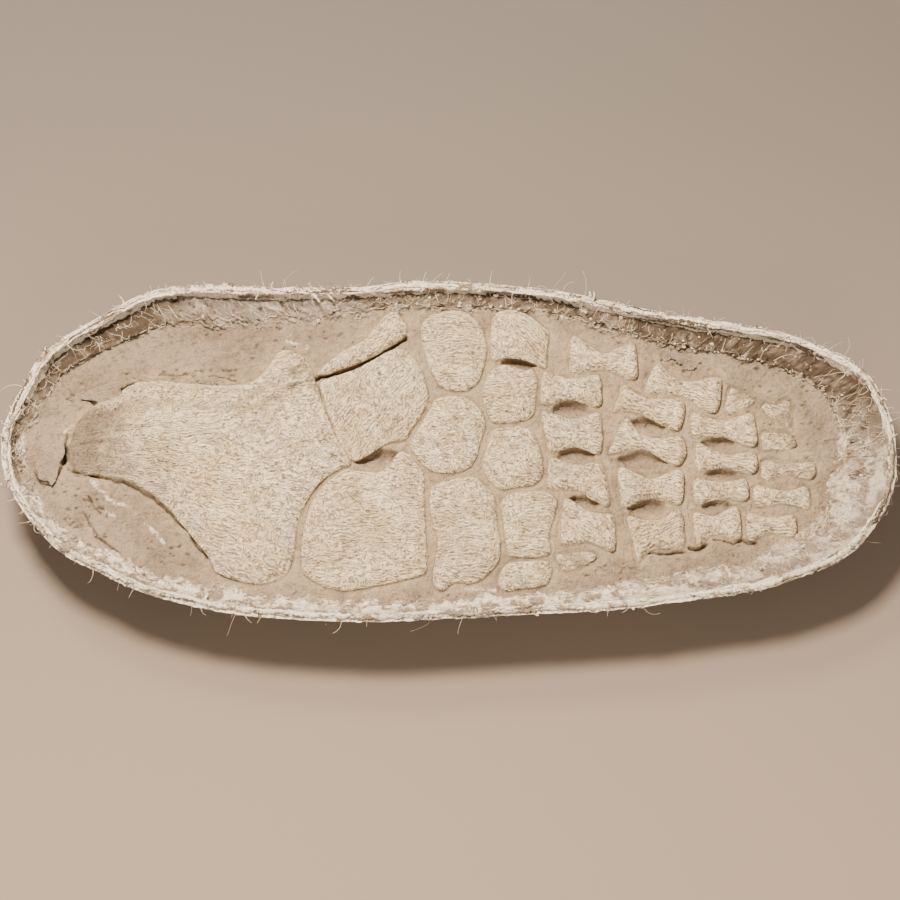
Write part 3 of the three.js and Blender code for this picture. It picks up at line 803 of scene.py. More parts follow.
def build_lining():
    """The lining as a band of points, and the direction of each of its columns."""
    columns = np.linspace(0, len(RIM), LINING_SIDES, endpoint=False)
    closing = columns > len(RIM) - 1

    def sampled(values):
        return np.interp(columns, np.arange(len(RIM) + 1), np.append(values, values[0]))

    angles = np.interp(columns, np.arange(len(RIM)), RIM_ANGLES)
    angles[closing] = RIM_ANGLES[-1]
    angles[np.abs(np.gradient(angles)) > 20] = 180
    reach, height, pale, grey, dark = (
        np.interp(angles, LINING[:, 0], LINING[:, i]) for i in range(1, 6)
    )
    marks = sampled(RIM_MARKS)
    marks[closing] = RIM_MARKS[-1] + 1
    cells = round(RIM_LENGTH / 24)
    torn = fractal(marks / RIM_LENGTH * cells, np.zeros(LINING_SIDES), 611, 5, 0.62, cells)
    line, places = lining_section(sampled, reach * (1 + 0.55 * torn))
    rim = np.stack([sampled(RIM[:, 0]), sampled(RIM[:, 1])], 1)
    points = np.stack([*inset_rim(rim, line[..., 0]), line[..., 1]], -1)

    t = places[:, None]
    across = np.cumsum(np.linalg.norm(np.diff(points, axis=0, prepend=points[:1]), axis=2), axis=0)
    along = np.broadcast_to(marks, across.shape)
    bend = 9 * fractal(along / 34, across / 34, 621, 3)
    lean = 0.55 * across
    fold = ridged((along + lean + bend) / 13, (across + 0.6 * bend) / 17, 631, 3)
    pleat = ridged((along - 0.8 * across + bend) / 7, (across + 0.5 * bend) / 6, 641, 3)
    crumb = fractal(along / 4.5, across / 4.5, 651, 3, 0.65)
    body = smooth(t, 0.2, 1.0) * (1 - smooth(t, 4.3, 5.0))
    relief = height * body * (0.9 * (fold - 0.45) + 0.7 * (pleat - 0.5) + 0.6 * crumb)
    relief += body * 1.3 * (np.floor(3 * torn) / 3)
    points = points + grid_normals(points) * relief[..., None]

    folds = smooth(0.30 - fold, 0.0, 0.7) * 0.9 + smooth(0.2 - pleat, 0.0, 0.9) * 0.4
    # Painted shade in the folds, a band of it right under the lip, and more under the overhanging
    # upper rim where the dark column is high.
    crease = body * np.clip(folds - 0.3 * pale, 0, 1)
    crease = np.maximum(crease, 0.6 * (1 - smooth(t, 0.3, 1.8)) * (1 - 0.6 * pale))
    ragged = np.clip(0.7 + 0.9 * fractal(along / 12, across / 9, 681, 4, 0.6), 0, 1)
    crease = np.clip(crease + 1.3 * dark * (1 - smooth(t, 3.0, 4.4)) * ragged, 0, 1)
    blotch = fractal(along / 22, across / 16, 661, 5, 0.65)
    # Less pale walls take the stain colour: on the upper walls this is partly painted shade.
    bare = np.clip(1.15 * (1 - pale) + 1.1 * blotch, 0, 1)
    patches = 1.2 * fractal(along / 9, across / 7, 671, 4, 0.65)
    soil = np.clip(smooth(t, 2.4, 4.2) * 0.7 + patches - 0.35 * pale, 0, 1)
    soil = np.maximum(soil * smooth(t, 1.2, 2.6), smooth(t, 3.7, 4.4))
    cloth = np.stack([along + 0.5 * across, across, 0 * across], -1).reshape(-1, 3)
    piece = make_object(
        "jacket_lining", points.reshape(-1, 3), grid_faces(LINING_ROWS, LINING_SIDES), PLASTER,
        {"crease": crease.ravel(), "bare": bare.ravel(), "soil": soil.ravel(),
         "greyed": np.broadcast_to(grey, across.shape).ravel(), "cloth": cloth * MM},
    )
    close_band(piece)
    finish_piece(piece, "plaster_burlap")
    return points, angles


def close_band(piece):
    """Gives a ring of cloth its thickness, so that it's a closed skin."""
    skin = piece.modifiers.new("thickness", "SOLIDIFY")
    skin.thickness = 1.2 * MM
    skin.offset = -1.0


# Middle direction, spread and number of the strands that lie on the lining.
STRANDS = [(-35, 22, 420), (0, 16, 160), (115, 14, 200), (50, 24, 130), (-110, 30, 200),
           (170, 25, 160), (80, 20, 120)]


STRAND_POINTS = 9


def build_strands(lining, angles):
    """Loose burlap fibres that follow the crumpled lining."""
    rng = np.random.default_rng(535)
    rows, columns = lining.shape[:2]
    strands = []
    for middle, spread, number in STRANDS:
        for _ in range(number):
            column = nearest_turn(angles, rng.normal(middle, spread))
            row = rng.uniform(8, rows - 9)
            heading = rng.uniform(0, 2 * math.pi)
            length = rng.uniform(8, 34)
            path = []
            for _ in range(STRAND_POINTS):
                heading += rng.normal() * 0.35
                row += math.sin(heading) * length / STRAND_POINTS * 0.75
                column += math.cos(heading) * length / STRAND_POINTS * 0.85
                path.append(lining[int(np.clip(row, 3, rows - 8)), int(column) % columns])
            path = np.array(path)
            path[:, 2] += rng.uniform(0.5, 1.3)
            path = path + rng.normal(size=path.shape) * 0.15
            gaps = np.linalg.norm(np.diff(path, axis=0), axis=1)
            if gaps.min() > 0.2 and gaps.max() < 14:
                strands.append((path, rng.uniform(0.22, 0.5)))
    join_tubes("lining_strands", strands, "plaster_burlap")


STRIP_COUNT = 330
# Middle direction, number of torn flaps and how far they spread.
TUFTS = [(110, 22, 3.0), (140, 8, 9), (168, 14, 10), (178, 10, 8), (-140, 5, 3), (-119, 3, 1.5),
         (-34, 9, 5), (92, 5, 3), (72, 5, 4), (30, 7, 10), (5, 7, 8), (-75, 5, 14), (-160, 6, 8)]


def build_strips(shell, places):
    """Torn bandage strips laid along the rim, one over the other."""
    rng = np.random.default_rng(515)
    normals = grid_normals(shell)
    count = shell.shape[1]
    low = nearest_row(places, 3.6)
    high = nearest_row(places, 9.6)
    line = np.linalg.norm(np.diff(shell[low:high + 1], axis=0), axis=2).mean(1)
    line = np.concatenate([[0], np.cumsum(line)])
    pitch = RIM_LENGTH / count
    sides = np.linspace(-1, 1, 5)
    around = [(side, 0) for side in sides] + [(side, 1) for side in sides[::-1]]
    heap = Heap()
    for _ in range(STRIP_COUNT):
        length = rng.uniform(16, 90)
        steps = int(length / 2) + 3
        half = rng.uniform(1.6, 5.0)
        place = rng.uniform(0, line[-1])
        slope = rng.uniform(-0.09, 0.09)
        lift = rng.uniform(0.3, 1.9)
        curl = rng.uniform(0.0, 1.6)
        tone = rng.uniform(0.0, 0.5) if rng.random() < 0.8 else rng.uniform(0.6, 1.0)
        t = np.linspace(-1, 1, steps)
        wander = np.cumsum(rng.normal(size=steps)) * 0.22
        middle = place + slope * t * length / 2 + wander
        reach = half * (1 - t ** 4) * (1 + 0.35 * rng.normal(size=steps)) + 0.25
        column = rng.uniform(0, count) + t * length / 2 / pitch
        first = np.floor(column).astype(int)
        share = (column - first)[:, None]
        here, there = first % count, (first + 1) % count
        ring, cloth = [], []
        for side, down in around:
            w = np.clip(middle + side * reach, 0, line[-1])
            row = low + np.interp(w, line, np.arange(len(line)))
            r = row.astype(int)
            f = (row - r)[:, None]
            r2 = np.minimum(r + 1, len(shell) - 1)
            point = ((shell[r, here] * (1 - f) + shell[r2, here] * f) * (1 - share)
                     + (shell[r, there] * (1 - f) + shell[r2, there] * f) * share)
            rise = lift + curl * side * side - 1.3 * down + 0.25 * rng.normal(size=steps)
            ring.append(point + normals[r, here] * rise[:, None])
            cloth.append(np.stack([column * pitch, w, 0 * w], 1) * MM)
        # Painted shade on the underside of each strip.
        heap.add(
            np.array(ring).transpose(1, 0, 2).reshape(-1, 3), swept_faces(steps, len(around)),
            crease=np.tile([0.85 * down for _, down in around], steps),
            bare=np.full(steps * len(around), tone),
            cloth=np.array(cloth).transpose(1, 0, 2).reshape(-1, 3),
        )
    heap.make("bandage_strips", PLASTER, "plaster_burlap")


def build_flaps(shell, places):
    """Torn, frayed ends of cloth that stand off the rim."""
    rng = np.random.default_rng(525)
    heap = Heap()
    for middle, number, spread in TUFTS:
        for _ in range(number):
            k = nearest_turn(RIM_ANGLES, middle + rng.normal() * spread)
            row = nearest_row(places, rng.uniform(4.6, 10.4))
            outward = RIM_OUTWARD[k]
            along = np.array([-outward[1], outward[0], 0]) * rng.choice([-1, 1])
            side = outward * (1 if places[row] < 7 else -1)
            heading = along * rng.uniform(0.3, 1.0) + side * rng.uniform(0.1, 0.8)
            heading = heading + np.array([0, 0, rng.uniform(-0.25, 0.3)])
            path = fibre_path(rng, shell[row, k], heading, rng.uniform(6, 19), 0.9, 8)
            if (np.abs(path) > REACH_LIMIT).any():
                continue
            points, faces = ribbon(path, rng.uniform(1.2, 3.4), 0.5, rng)
            heap.add(points, faces, cloth=points * MM, crease=np.zeros(len(points)),
                     bare=np.full(len(points), rng.uniform(0, 0.7)))
    heap.make("torn_flaps", PLASTER, "plaster_burlap")


def ribbon(path, width, thickness, rng):
    """A flat strip along a path, ragged at its sides and narrower towards its end."""
    along = np.gradient(path, axis=0)
    along /= np.linalg.norm(along, axis=1, keepdims=True)
    lean = rng.normal(size=3) * 0.4 + [0, 0, 1]
    side = np.cross(along, lean)
    side /= np.linalg.norm(side, axis=1, keepdims=True)
    up = np.cross(side, along)
    taper = np.linspace(1, 0.35, len(path)) * (1 + 0.3 * rng.normal(size=len(path)))
    reach = (width * np.clip(taper, 0.2, 1.6))[:, None]
    ring = np.stack([path + side * reach, path + up * thickness * 1.2, path - side * reach,
                     path - up * thickness], 1)
    return ring.reshape(-1, 3), swept_faces(len(path), 4)


# Bones

def ring_from_node(name):
    """The loop of a bone's widest edge, read from its solid, anticlockwise from above."""
    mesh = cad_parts[name].data
    co = np.array([v.co for v in mesh.vertices]) / MM
    keys = [tuple(np.round(p, 1)) for p in co]
    unique = sorted(set(keys))
    heights = np.array([k[2] for k in unique])
    levels, counts = np.unique(heights, return_counts=True)
    lifted = levels > heights.min() + 2
    edge = levels[lifted][np.argmax(counts[lifted])]
    neighbours = {}
    for a, b in (e.vertices for e in mesh.edges):
        ka, kb = keys[a], keys[b]
        if ka != kb and ka[2] == edge and kb[2] == edge:
            neighbours.setdefault(ka, set()).add(kb)
            neighbours.setdefault(kb, set()).add(ka)
    start = min(neighbours)
    loop = [start]
    previous = None
    while True:
        options = [k for k in sorted(neighbours[loop[-1]]) if k != previous]
        previous = loop[-1]
        if options[0] == start or len(loop) > len(neighbours):
            break
        loop.append(options[0])
    ring = np.array(loop)[:, :2]
    x, y = ring.T
    if (x * np.roll(y, -1) - np.roll(x, -1) * y).sum() < 0:
        ring = ring[::-1]
    return ring, edge, heights.min(), heights.max()


def star_centre(loop):
    """The point that sees the whole loop best."""
    low, high = loop.min(0), loop.max(0)
    edge = np.roll(loop, -1, axis=0) - loop
    inward = np.stack([-edge[:, 1], edge[:, 0]], 1)
    inward /= np.linalg.norm(inward, axis=1, keepdims=True)
    best, best_gap = loop.mean(0), -1e9
    for fx in np.linspace(0.15, 0.85, 29):
        for fy in np.linspace(0.15, 0.85, 29):
            point = low + (high - low) * [fx, fy]
            gap = ((point - loop) * inward).sum(1).min()
            if gap > best_gap:
                best, best_gap = point, gap
    return best


BONE_STYLES = {
    "humerus": dict(plateau=62, dish=2.0, fan=(-640, 10), crust_end=(-500, 20, 95)),
    "radius": dict(plateau=40, dish=1.0),
    "ulna": dict(plateau=40, dish=1.0),
    "preaxial_ossicle": dict(plateau=12, dish=0.0),
}
SHAFT_STYLE = dict(plateau=11, dish=0.4, saddle=2.8, lip=2.6)
BLOCK_STYLE = dict(plateau=20, dish=1.2)
# Lip of a bone under the widest edge of its solid, and spacing of its points and rings.
BONE_LIP = 1.6
BONE_SPACING = 1.25
BONE_RINGS = 1.9
CRUSTED = ("phalanx_2_1", "phalanx_3_1", "phalanx_3_3", "phalanx_3_2", "metacarpal_6")


def style_of(name):
    """Widths and heights that give the kind of bone its form."""
    if name in BONE_STYLES:
        return BONE_STYLES[name]
    if name.startswith(("metacarpal", "phalanx")):
        return SHAFT_STYLE
    return BLOCK_STYLE


def bone_height(name, seed, depth, rise, x, y, along, across):
    """Height of a bone's top over its lip; depth is the distance in from its outline."""
    style = style_of(name)
    plateau = style["plateau"]
    swell = 1 - (1 - np.clip(depth / plateau, 0, 1)) ** 1.9
    z = 2.7 * (1 - np.exp(-depth / 2.2)) + (0.72 * rise - 0.8) * swell
    z -= style["dish"] * smooth(depth, plateau * 0.8, plateau * 2.2)
    if "saddle" in style:
        part = np.abs(along) / np.abs(along).max()
        z += style["lip"] * part ** 4 - style["saddle"] * (1 - part ** 2)
    broad = fractal(x / 26 + seed, y / 26, seed + 1, 4)
    fine = fractal(x / 6.5, y / 6.5 + seed, seed + 2, 3, 0.6)
    stria = fractal(along / 26, across / 1.9, seed + 3, 3, 0.6)
    z += smooth(depth, 0.2, 3) * (0.9 * broad + 0.45 * fine + 0.38 * stria)
    if name == "humerus":
        z += humerus_relief(x, y)
    return z


def build_bone(name, seed):
    """One bone's piece, its outline and the height of its lip."""
    style = style_of(name)
    ring, edge, under, crest = ring_from_node(name)
    centre = star_centre(ring)
    curve = closed_curve(ring, 12)
    length = np.linalg.norm(np.diff(curve, axis=0), axis=1).sum()
    count = int(np.clip(length / BONE_SPACING, 120, 900))
    loop, marks, length = resample_closed(curve, count)
    cells = max(4, round(length / 15))
    turn = marks / length * cells
    nick = fractal(turn, np.zeros(count), seed + 900, 4, 0.6, cells)
    loop = loop + outward_normals(loop) * (0.9 * nick + 0.3)[:, None]
    lip = edge - BONE_LIP

    radius = np.linalg.norm(loop - centre, axis=1).max()
    steps = int(np.clip(radius / BONE_RINGS, 14, 80))
    shares = 1 - np.linspace(0, 1, steps, endpoint=False) ** 1.2
    top = centre + (loop - centre) * shares[:, None, None]
    x, y = top[..., 0], top[..., 1]
    depth = distance_to_loop(top.reshape(-1, 2), loop[::2]).reshape(steps, count)
    depth[0] = 0
    along, across = bone_axes(loop, centre, style, x, y)
    bevel = smooth(depth, 0.2, 3)
    crack_depth, crack_shade = bone_cracks(name, x, y, seed, loop)
    z = lip + bone_height(name, seed, depth, crest - edge, x, y, along, across)
    z -= crack_depth * bevel

    levels = [(2.0, under), (1.6, edge - 16), (1.0, edge - 10), (0.3, edge - 5)]
    walls = []
    normals = outward_normals(loop)
    for inset, height in levels:
        rough = fractal(turn * 2, np.full(count, height / 7.0), seed + 950, 3, 0.5, cells * 2)
        walls.append(np.column_stack([loop - normals * (inset + 0.7 * rough)[:, None],
                                      np.full(count, height)]))
    grid = np.concatenate([np.array(walls), np.dstack([x, y, z])])
    vertices, faces = capped_grid(grid, [*centre, under], [*centre, z[-1].mean()])

    greyed = np.clip(0.25 + 0.6 * fractal(x / 60 + 3 * seed, y / 60, seed + 5, 3), 0, 1)
    if name == "humerus":
        greyed = np.clip(greyed + 0.9 * smooth(60 - depth, 18, 60) * smooth(-y, -10, 60), 0, 1)

    def padded(values, wall_value=0.0):
        walls = np.full(len(levels) * count, wall_value)
        return np.concatenate([walls, values.ravel(), [0, values[-1, 0]]])

    heights = np.concatenate([np.repeat([h for _, h in levels], count), z.ravel(), [under, edge]])
    piece = make_object("bone_" + name, vertices, faces, BONE, {
        "crust_and_shade": padded(crust_and_shade_mask(name, style, x, y, depth, seed), 0.75),
        "greyed": padded(greyed),
        # Painted shade: in the cracks, and at 0.15 on the side walls.
        "crack_and_wall_shade": padded(crack_shade * bevel, 0.15),
        # The lip band is a painted highlight along the rounded edge.
        "lip": padded(0.7 * np.exp(-((depth - 2.6) / 1.8) ** 2)),
        "grain": np.stack([padded(along), padded(across), heights], 1) * MM,
    })
    return piece, loop, lip


def bone_axes(loop, centre, style, x, y):
    """Along and across the bone's grain, in millimetres."""
    if "fan" in style:
        fx, fy = style["fan"]
        reach = np.hypot(x - fx, y - fy)
        angle = np.arctan2(y - fy, x - fx)
        return reach, angle * 330
    offset = loop - centre
    _, vectors = np.linalg.eigh(offset.T @ offset)
    main = vectors[:, 1]
    if abs(main[0]) < 0.5:
        main = np.array([1.0, 0.0])
    along = (x - centre[0]) * main[0] + (y - centre[1]) * main[1]
    across = -(x - centre[0]) * main[1] + (y - centre[1]) * main[0]
    return along, across


def segment_distance(x, y, a, b):
    ax, ay = a
    bx, by = b
    share = ((x - ax) * (bx - ax) + (y - ay) * (by - ay)) / ((bx - ax) ** 2 + (by - ay) ** 2)
    share = np.clip(share, 0, 1)
    return np.hypot(x - ax - share * (bx - ax), y - ay - share * (by - ay))


def path_distance(x, y, path):
    return np.min([segment_distance(x, y, a, b) for a, b in zip(path, path[1:])], axis=0)


def humerus_relief(x, y):
    """The tuberosity at the upper far corner, its pit and ridge, and the worn near end."""
    knob = 6.5 * np.exp(-(((x + 216) / 30) ** 2 + ((y - 118) / 26) ** 2))
    pit = -5.5 * np.exp(-(((x + 203) / 11) ** 2 + ((y - 108) / 8) ** 2))
    ridge = 4.0 * np.exp(-(path_distance(x, y, [(-258, 58), (-230, 84), (-186, 103)]) / 5) ** 2)
    hollow = -5.0 * np.exp(-(path_distance(x, y, [(-262, 78), (-236, 96), (-205, 88)]) / 9) ** 2)
    shaft = 3.2 * np.exp(-(path_distance(x, y, [(-470, 20), (-380, 42), (-300, 40)]) / 42) ** 2)
    margin = -4.0 * smooth(-x, 400, 500)
    flank = [(-430, -20), (-350, -75), (-300, -140)]
    lower = -2.6 * np.exp(-(path_distance(x, y, flank) / 16) ** 2)
    crown = [(-470, 60), (-410, 88), (-340, 86), (-270, 80), (-240, 90)]
    below = [(-470, 44), (-410, 66), (-340, 64), (-270, 56), (-228, 72)]
    top_ridge = 3.6 * np.exp(-(path_distance(x, y, crown) / 7) ** 2)
    furrow = -3.0 * np.exp(-(path_distance(x, y, below) / 6) ** 2)
    turn = np.arctan2(y - 8, x + 560)
    rays = fractal(turn * 16, x / 60, 771, 3, 0.6) * smooth(-x, 300, 430)
    broad = 2.4 * fractal(x / 48, y / 48, 775, 3)
    return (1.3 * (knob + pit + ridge + hollow + top_ridge + furrow + broad)
            + shaft + margin + lower + 4.0 * rays)


def humerus_shade(x, y):
    """Painted shade in sediment colour: in the furrow under the top ridge, in the knob's pit and
    along its edge.
    """
    paths = [
        (7, 0.55, [(-470, 44), (-410, 66), (-340, 64), (-270, 56), (-228, 72)]),
        (6, 0.8, [(-262, 78), (-236, 96), (-205, 88)]),
        (7, 0.9, [(-205, 109), (-201, 107)]),
        (4, 0.7, [(-196, 128), (-184, 100), (-176, 80)]),
    ]
    ragged_x = x + 5 * fractal(x / 11, y / 11, 781, 3)
    ragged_y = y + 5 * fractal(x / 11 + 20, y / 11, 785, 3)
    shade = np.zeros(x.shape)
    for width, share, path in paths:
        line = np.exp(-(path_distance(ragged_x, ragged_y, path) / width) ** 2)
        shade = np.maximum(shade, share * line)
    return shade


def bone_cracks(name, x, y, seed, loop):
    """Fine wandering cracks: depth in millimetres and a mask of painted shade in them."""
    rng = np.random.default_rng(seed + 77)
    depth = np.zeros(x.shape)
    mask = np.zeros(x.shape)
    wobble_x = x + 3.2 * fractal(x / 9, y / 9, seed + 81, 3)
    wobble_y = y + 3.2 * fractal(x / 9 + 40, y / 9, seed + 84, 3)
    low, high = loop.min(0), loop.max(0)
    size = high - low
    number = 7 if name in ("humerus", "ulna", "radius") else 3
    for _ in range(number):
        start = low + size * rng.uniform(0.1, 0.9, 2)
        angle = rng.uniform(0, math.pi)
        reach = rng.uniform(0.14, 0.34) * size.max()
        end = start + reach * np.array([math.cos(angle), math.sin(angle)])
        gap = segment_distance(wobble_x, wobble_y, start, end)
        width = rng.uniform(0.5, 1.0)
        line = np.exp(-(gap / width) ** 2)
        depth += 0.8 * line
        mask = np.maximum(mask, 0.45 * line)
    return depth, mask


def crust_and_shade_mask(name, style, x, y, depth, seed):
    """Where sediment still sticks to the bone, and on the humerus painted shade in its furrow, pit
    and knob's edge.
    """
    patchy = fractal(x / 17, y / 17, seed + 31, 4, 0.6)
    rim = 0.22 * smooth(2.0 - depth, 0, 1.8) * smooth(patchy, -0.5, 0.6)
    crust_and_shade = rim + 0.4 * smooth(patchy, 0.42, 0.75)
    if name in CRUSTED:
        crust_and_shade = crust_and_shade + smooth(patchy, -0.35, 0.45) * 0.85
    if name == "humerus":
        # Painted shade in the humerus's furrow, pit and knob edge.
        crust_and_shade = crust_and_shade + 0.8 * humerus_shade(x, y)
    if "crust_end" in style:
        cx, cy, reach = style["crust_end"]
        fade = np.exp(-(np.hypot(x - cx, (y - cy) * 0.8) / reach) ** 2)
        crust_and_shade = crust_and_shade + smooth(fade + 0.35 * patchy, 0.3, 0.95)
    return np.clip(crust_and_shade, 0, 1)


def build_bones():
    """Builds each bone; returns the outlines and the heights of their lips."""
    names = sorted(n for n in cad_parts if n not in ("plaster_jacket", "sediment_matrix"))
    outlines = []
    for index, name in enumerate(names):
        piece, loop, lip = build_bone(name, 100 + 13 * index)
        finish_piece(piece, "fossil_bone", name)
        outlines.append((loop, lip))
    return outlines


# Sediment

# Cracks and undercuts: width, depth and path.
SEDIMENT_CRACKS = [
    (1.7, 10, [(-497, -25), (-470, -31), (-431, -40), (-398, -56), (-368, -80), (-340, -113),
               (-318, -144)]),
    (2.4, 14, [(-180, 105), (-153, 112), (-123, 123), (-90, 141), (-67, 155), (-57, 164)]),
    (1.2, 7, [(-488, 76), (-478, 74), (-470, 69), (-464, 63), (-457, 57), (-451, 60), (-447, 66),
              (-443, 72), (-434, 76)]),
    (3.0, 12, [(-438, 79), (-434, 80)]),
    (1.4, 9, [(-507, 26), (-509, 10), (-511, -8), (-511, -20)]),
    (4.0, 15, [(-509, 6), (-511, -12)]),
    (1.2, 6, [(-511, -20), (-519, -34), (-525, -45), (-540, -41), (-549, -26)]),
    (1.2, 8, [(-465, -116), (-449, -124), (-429, -142)]),
    (0.9, 4, [(-483, -81), (-474, -96), (-462, -115)]),
    (0.9, 4, [(-476, -58), (-468, -76), (-459, -84)]),
    (1.0, 3, [(-386, 111), (-362, 108), (-340, 111)]),
    (1.0, 3, [(-318, 108), (-300, 106), (-284, 103)]),
    (1.3, 9, [(-178, 98), (-170, 70), (-158, 35), (-146, 8), (-131, -8)]),
    (1.3, 10, [(262, -137), (285, -139), (312, -136)]),
    (2.0, 10, [(316, -130), (330, -133), (339, -126)]),
    (1.3, 8, [(349, -119), (375, -125), (388, -119), (396, -124), (406, -124)]),
]
# Small holes and pulled grains: two corners of the patch and their number.
SPECKS = [
    ((-392, 92), (-284, 118), 30), ((-430, 96), (-392, 112), 6), ((-505, -60), (-440, -120), 26),
    ((-560, -60), (-470, -10), 12), ((-420, -160), (-340, -120), 16), ((-540, 60), (-480, 120), 14),
    ((-330, 150), (-120, 185), 14), ((200, 120), (300, 180), 14), ((300, 110), (420, 160), 14),
    ((380, -20), (520, 100), 22), ((160, -200), (300, -150), 16), ((330, -180), (450, -125), 14),
    ((-280, 120), (-190, 180), 10), ((-60, -210), (160, -195), 14),
]
# Grid cells that a speck takes up to either side.
SPECK_REACH = 8
# Plaster dust on the sediment.
CHALK_STREAKS = [
    [(-468, -46), (-456, -53)], [(-453, -60), (-440, -68), (-423, -72)], [(-450, -81), (-441, -87)],
    [(-399, -97), (-386, -108), (-375, -122)], [(-500, 38), (-508, 30)], [(-470, -40), (-462, -44)],
    [(303, 136), (314, 131), (326, 121)], [(-215, 158), (-190, 150)], [(20, -186), (60, -188)],
]

def sediment_height(x, y):
    """Uneven ground with low flaking steps."""
    wave = fractal(x / 75, y / 75, 201, 4)
    rough = fractal(x / 15, y / 15, 205, 4, 0.6)
    grit = fractal(x / 4, y / 4, 209, 2, 0.7)
    flake = fractal(x / 30, y / 24, 213, 4, 0.55) * 7
    step = np.floor(flake) + smooth(flake - np.floor(flake), 0.78, 1.0)
    return SEDIMENT_LEVEL + 1.9 * wave + 1.5 * rough + 0.9 * grit + 0.75 * step


def bone_surroundings(gx, gy, outlines):
    """Distance to the nearest bone, the height of its lip, and where the grid is under a bone."""
    near_bone = np.full(gx.shape, 99.0)
    lip = np.full(gx.shape, 97.0)
    in_bone = np.zeros(gx.shape, bool)
    for loop, lip_height in outlines:
        low, high = loop.min(0) - 14, loop.max(0) + 14
        box = (gx > low[0]) & (gx < high[0]) & (gy > low[1]) & (gy < high[1])
        points = np.stack([gx[box], gy[box]], 1)
        gap = distance_to_loop(points, loop[::2])
        within = inside_loop(points, loop[::2])
        gap_outside = np.where(within, 0, gap)
        lip[box] = np.where(gap_outside < near_bone[box], lip_height, lip[box])
        near_bone[box] = np.minimum(near_bone[box], gap_outside)
        in_bone[box] |= within & (gap > 3.0)
    return near_bone, lip, in_bone


def bed_bones(gx, gy, z, near_bone, lip):
    """Calms the ground by the bones, banks it against their lips and cuts a groove round them."""
    swell = fractal(gx / 22, gy / 22, 231, 3)
    z = SEDIMENT_LEVEL + (z - SEDIMENT_LEVEL) * (0.35 + 0.65 * smooth(near_bone, 1, 16))
    z += 1.6 * np.exp(-((near_bone - 9) / 5) ** 2) * smooth(swell, -0.5, 0.4)
    streaks = ridged(gx / 8 + 1.5 * swell, gy / 17, 297, 3)
    z += 1.7 * (streaks - 0.5) * np.exp(-((near_bone - 5) / 6) ** 2)
    filled = smooth(fractal(gx / 34, gy / 34, 235, 3), -0.15, 0.35)
    above_bone = smooth(np.gradient(near_bone, axis=0) / GRID_STEP, 0.0, 0.7)
    groove = (2.2 - 1.6 * filled) * (1 - 0.75 * above_bone) - 0.9
    z -= groove * np.exp(-(near_bone / 2.8) ** 2)
    bank = lip - 0.5 - 0.9 * near_bone + 0.6 * swell
    return np.where(near_bone < 4.0, z + (bank - z) * (1 - smooth(near_bone, 0.6, 4.0)), z)


def dig_pits(gx, gy, z, hollow):
    """The open pits between the finger bones, steep at their upper edge and full of rubble."""
    for px, py, length, breadth, depth in PITS:
        wobble = 1 + 0.18 * fractal(gx / 12, gy / 12, int(px) + 600, 3)
        across = (gy - py) / breadth
        share = np.sqrt(((gx - px) / length) ** 2 + across ** 2) * wobble
        bowl = np.clip(1 - share ** 5, 0, 1)
        rubble = 0.16 * fractal(gx / 6, gy / 6, int(px) + 640, 3, 0.65)
        z -= (depth + 2.5) * bowl * (0.42 + 0.58 * smooth(across, -0.9, 0.3) + rubble)
        # Painted shade in each pit, darkest towards its upper edge, where the shadow falls.
        shade = smooth(bowl, 0.05, 0.7) * (0.2 + 0.5 * smooth(across, -0.1, 0.7))
        np.maximum(hollow, shade, out=hollow)


def add_specks(gx, gy, xs, ys, z, hollow):
    """Small holes with a raised edge, where grains were pulled out."""
    rng = np.random.default_rng(61)
    for (x0, y0), (x1, y1), number in SPECKS:
        for _ in range(number):
            px = x0 + (x1 - x0) * rng.random()
            py = y0 + (y1 - y0) * rng.random()
            turn = rng.normal() * 0.4
            reach = rng.uniform(1.4, 3.6)
            breadth = rng.uniform(0.8, 1.4)
            column = int((px - xs[0]) / GRID_STEP)
            row = int((py - ys[0]) / GRID_STEP)
            part = tuple(slice(k - SPECK_REACH, k + SPECK_REACH + 1) for k in (row, column))
            dx, dy = gx[part] - px, gy[part] - py
            along = dx * math.cos(turn) + dy * math.sin(turn)
            aside = dy * math.cos(turn) - dx * math.sin(turn)
            speck = np.exp(-(along / reach) ** 2 - (aside / breadth) ** 2)
            z[part] -= 3.0 * speck
            z[part] += 1.6 * np.exp(-(along / reach) ** 2 - ((aside - 2.2) / 1.5) ** 2)
            # Painted shade in each hole.
            hollow[part] = np.maximum(hollow[part], 1.3 * speck)


def chalk_cover(gx, gy, wx, wy, to_wall):
    """White plaster dust: streaks, and spill along the lower wall and the far end."""
    chalk = np.zeros(gx.shape)
    dust = fractal(gx / 5, gy / 5, 271, 3, 0.6)
    for path in CHALK_STREAKS:
        streak = np.exp(-(path_distance(wx, wy, path) / 3.4) ** 2)
        chalk = np.maximum(chalk, smooth(streak + 0.7 * dust, 0.45, 0.85))
    spill = np.exp(-to_wall / 17) * smooth(-gy, -60, 90) * 0.75
    spill += np.exp(-to_wall / 26) * smooth(gx, 300, 430) * smooth(-gy, -60, 60) * 0.5
    patchy = fractal(gx / 13, gy / 13, 275, 4, 0.6)
    return np.maximum(chalk, smooth(spill + 0.45 * patchy, 0.35, 0.8))


def trim_grid(keep):
    """Quads whose four corners are kept, and which of the kept points they use."""
    index = np.full(keep.shape, -1)
    index[keep] = np.arange(keep.sum())
    whole = keep[:-1, :-1] & keep[:-1, 1:] & keep[1:, 1:] & keep[1:, :-1]
    quads = np.stack([index[:-1, :-1], index[:-1, 1:], index[1:, 1:], index[1:, :-1]], -1)[whole]
    used = np.unique(quads)
    renumber = np.full(keep.sum(), -1)
    renumber[used] = np.arange(len(used))
    return renumber[quads], used


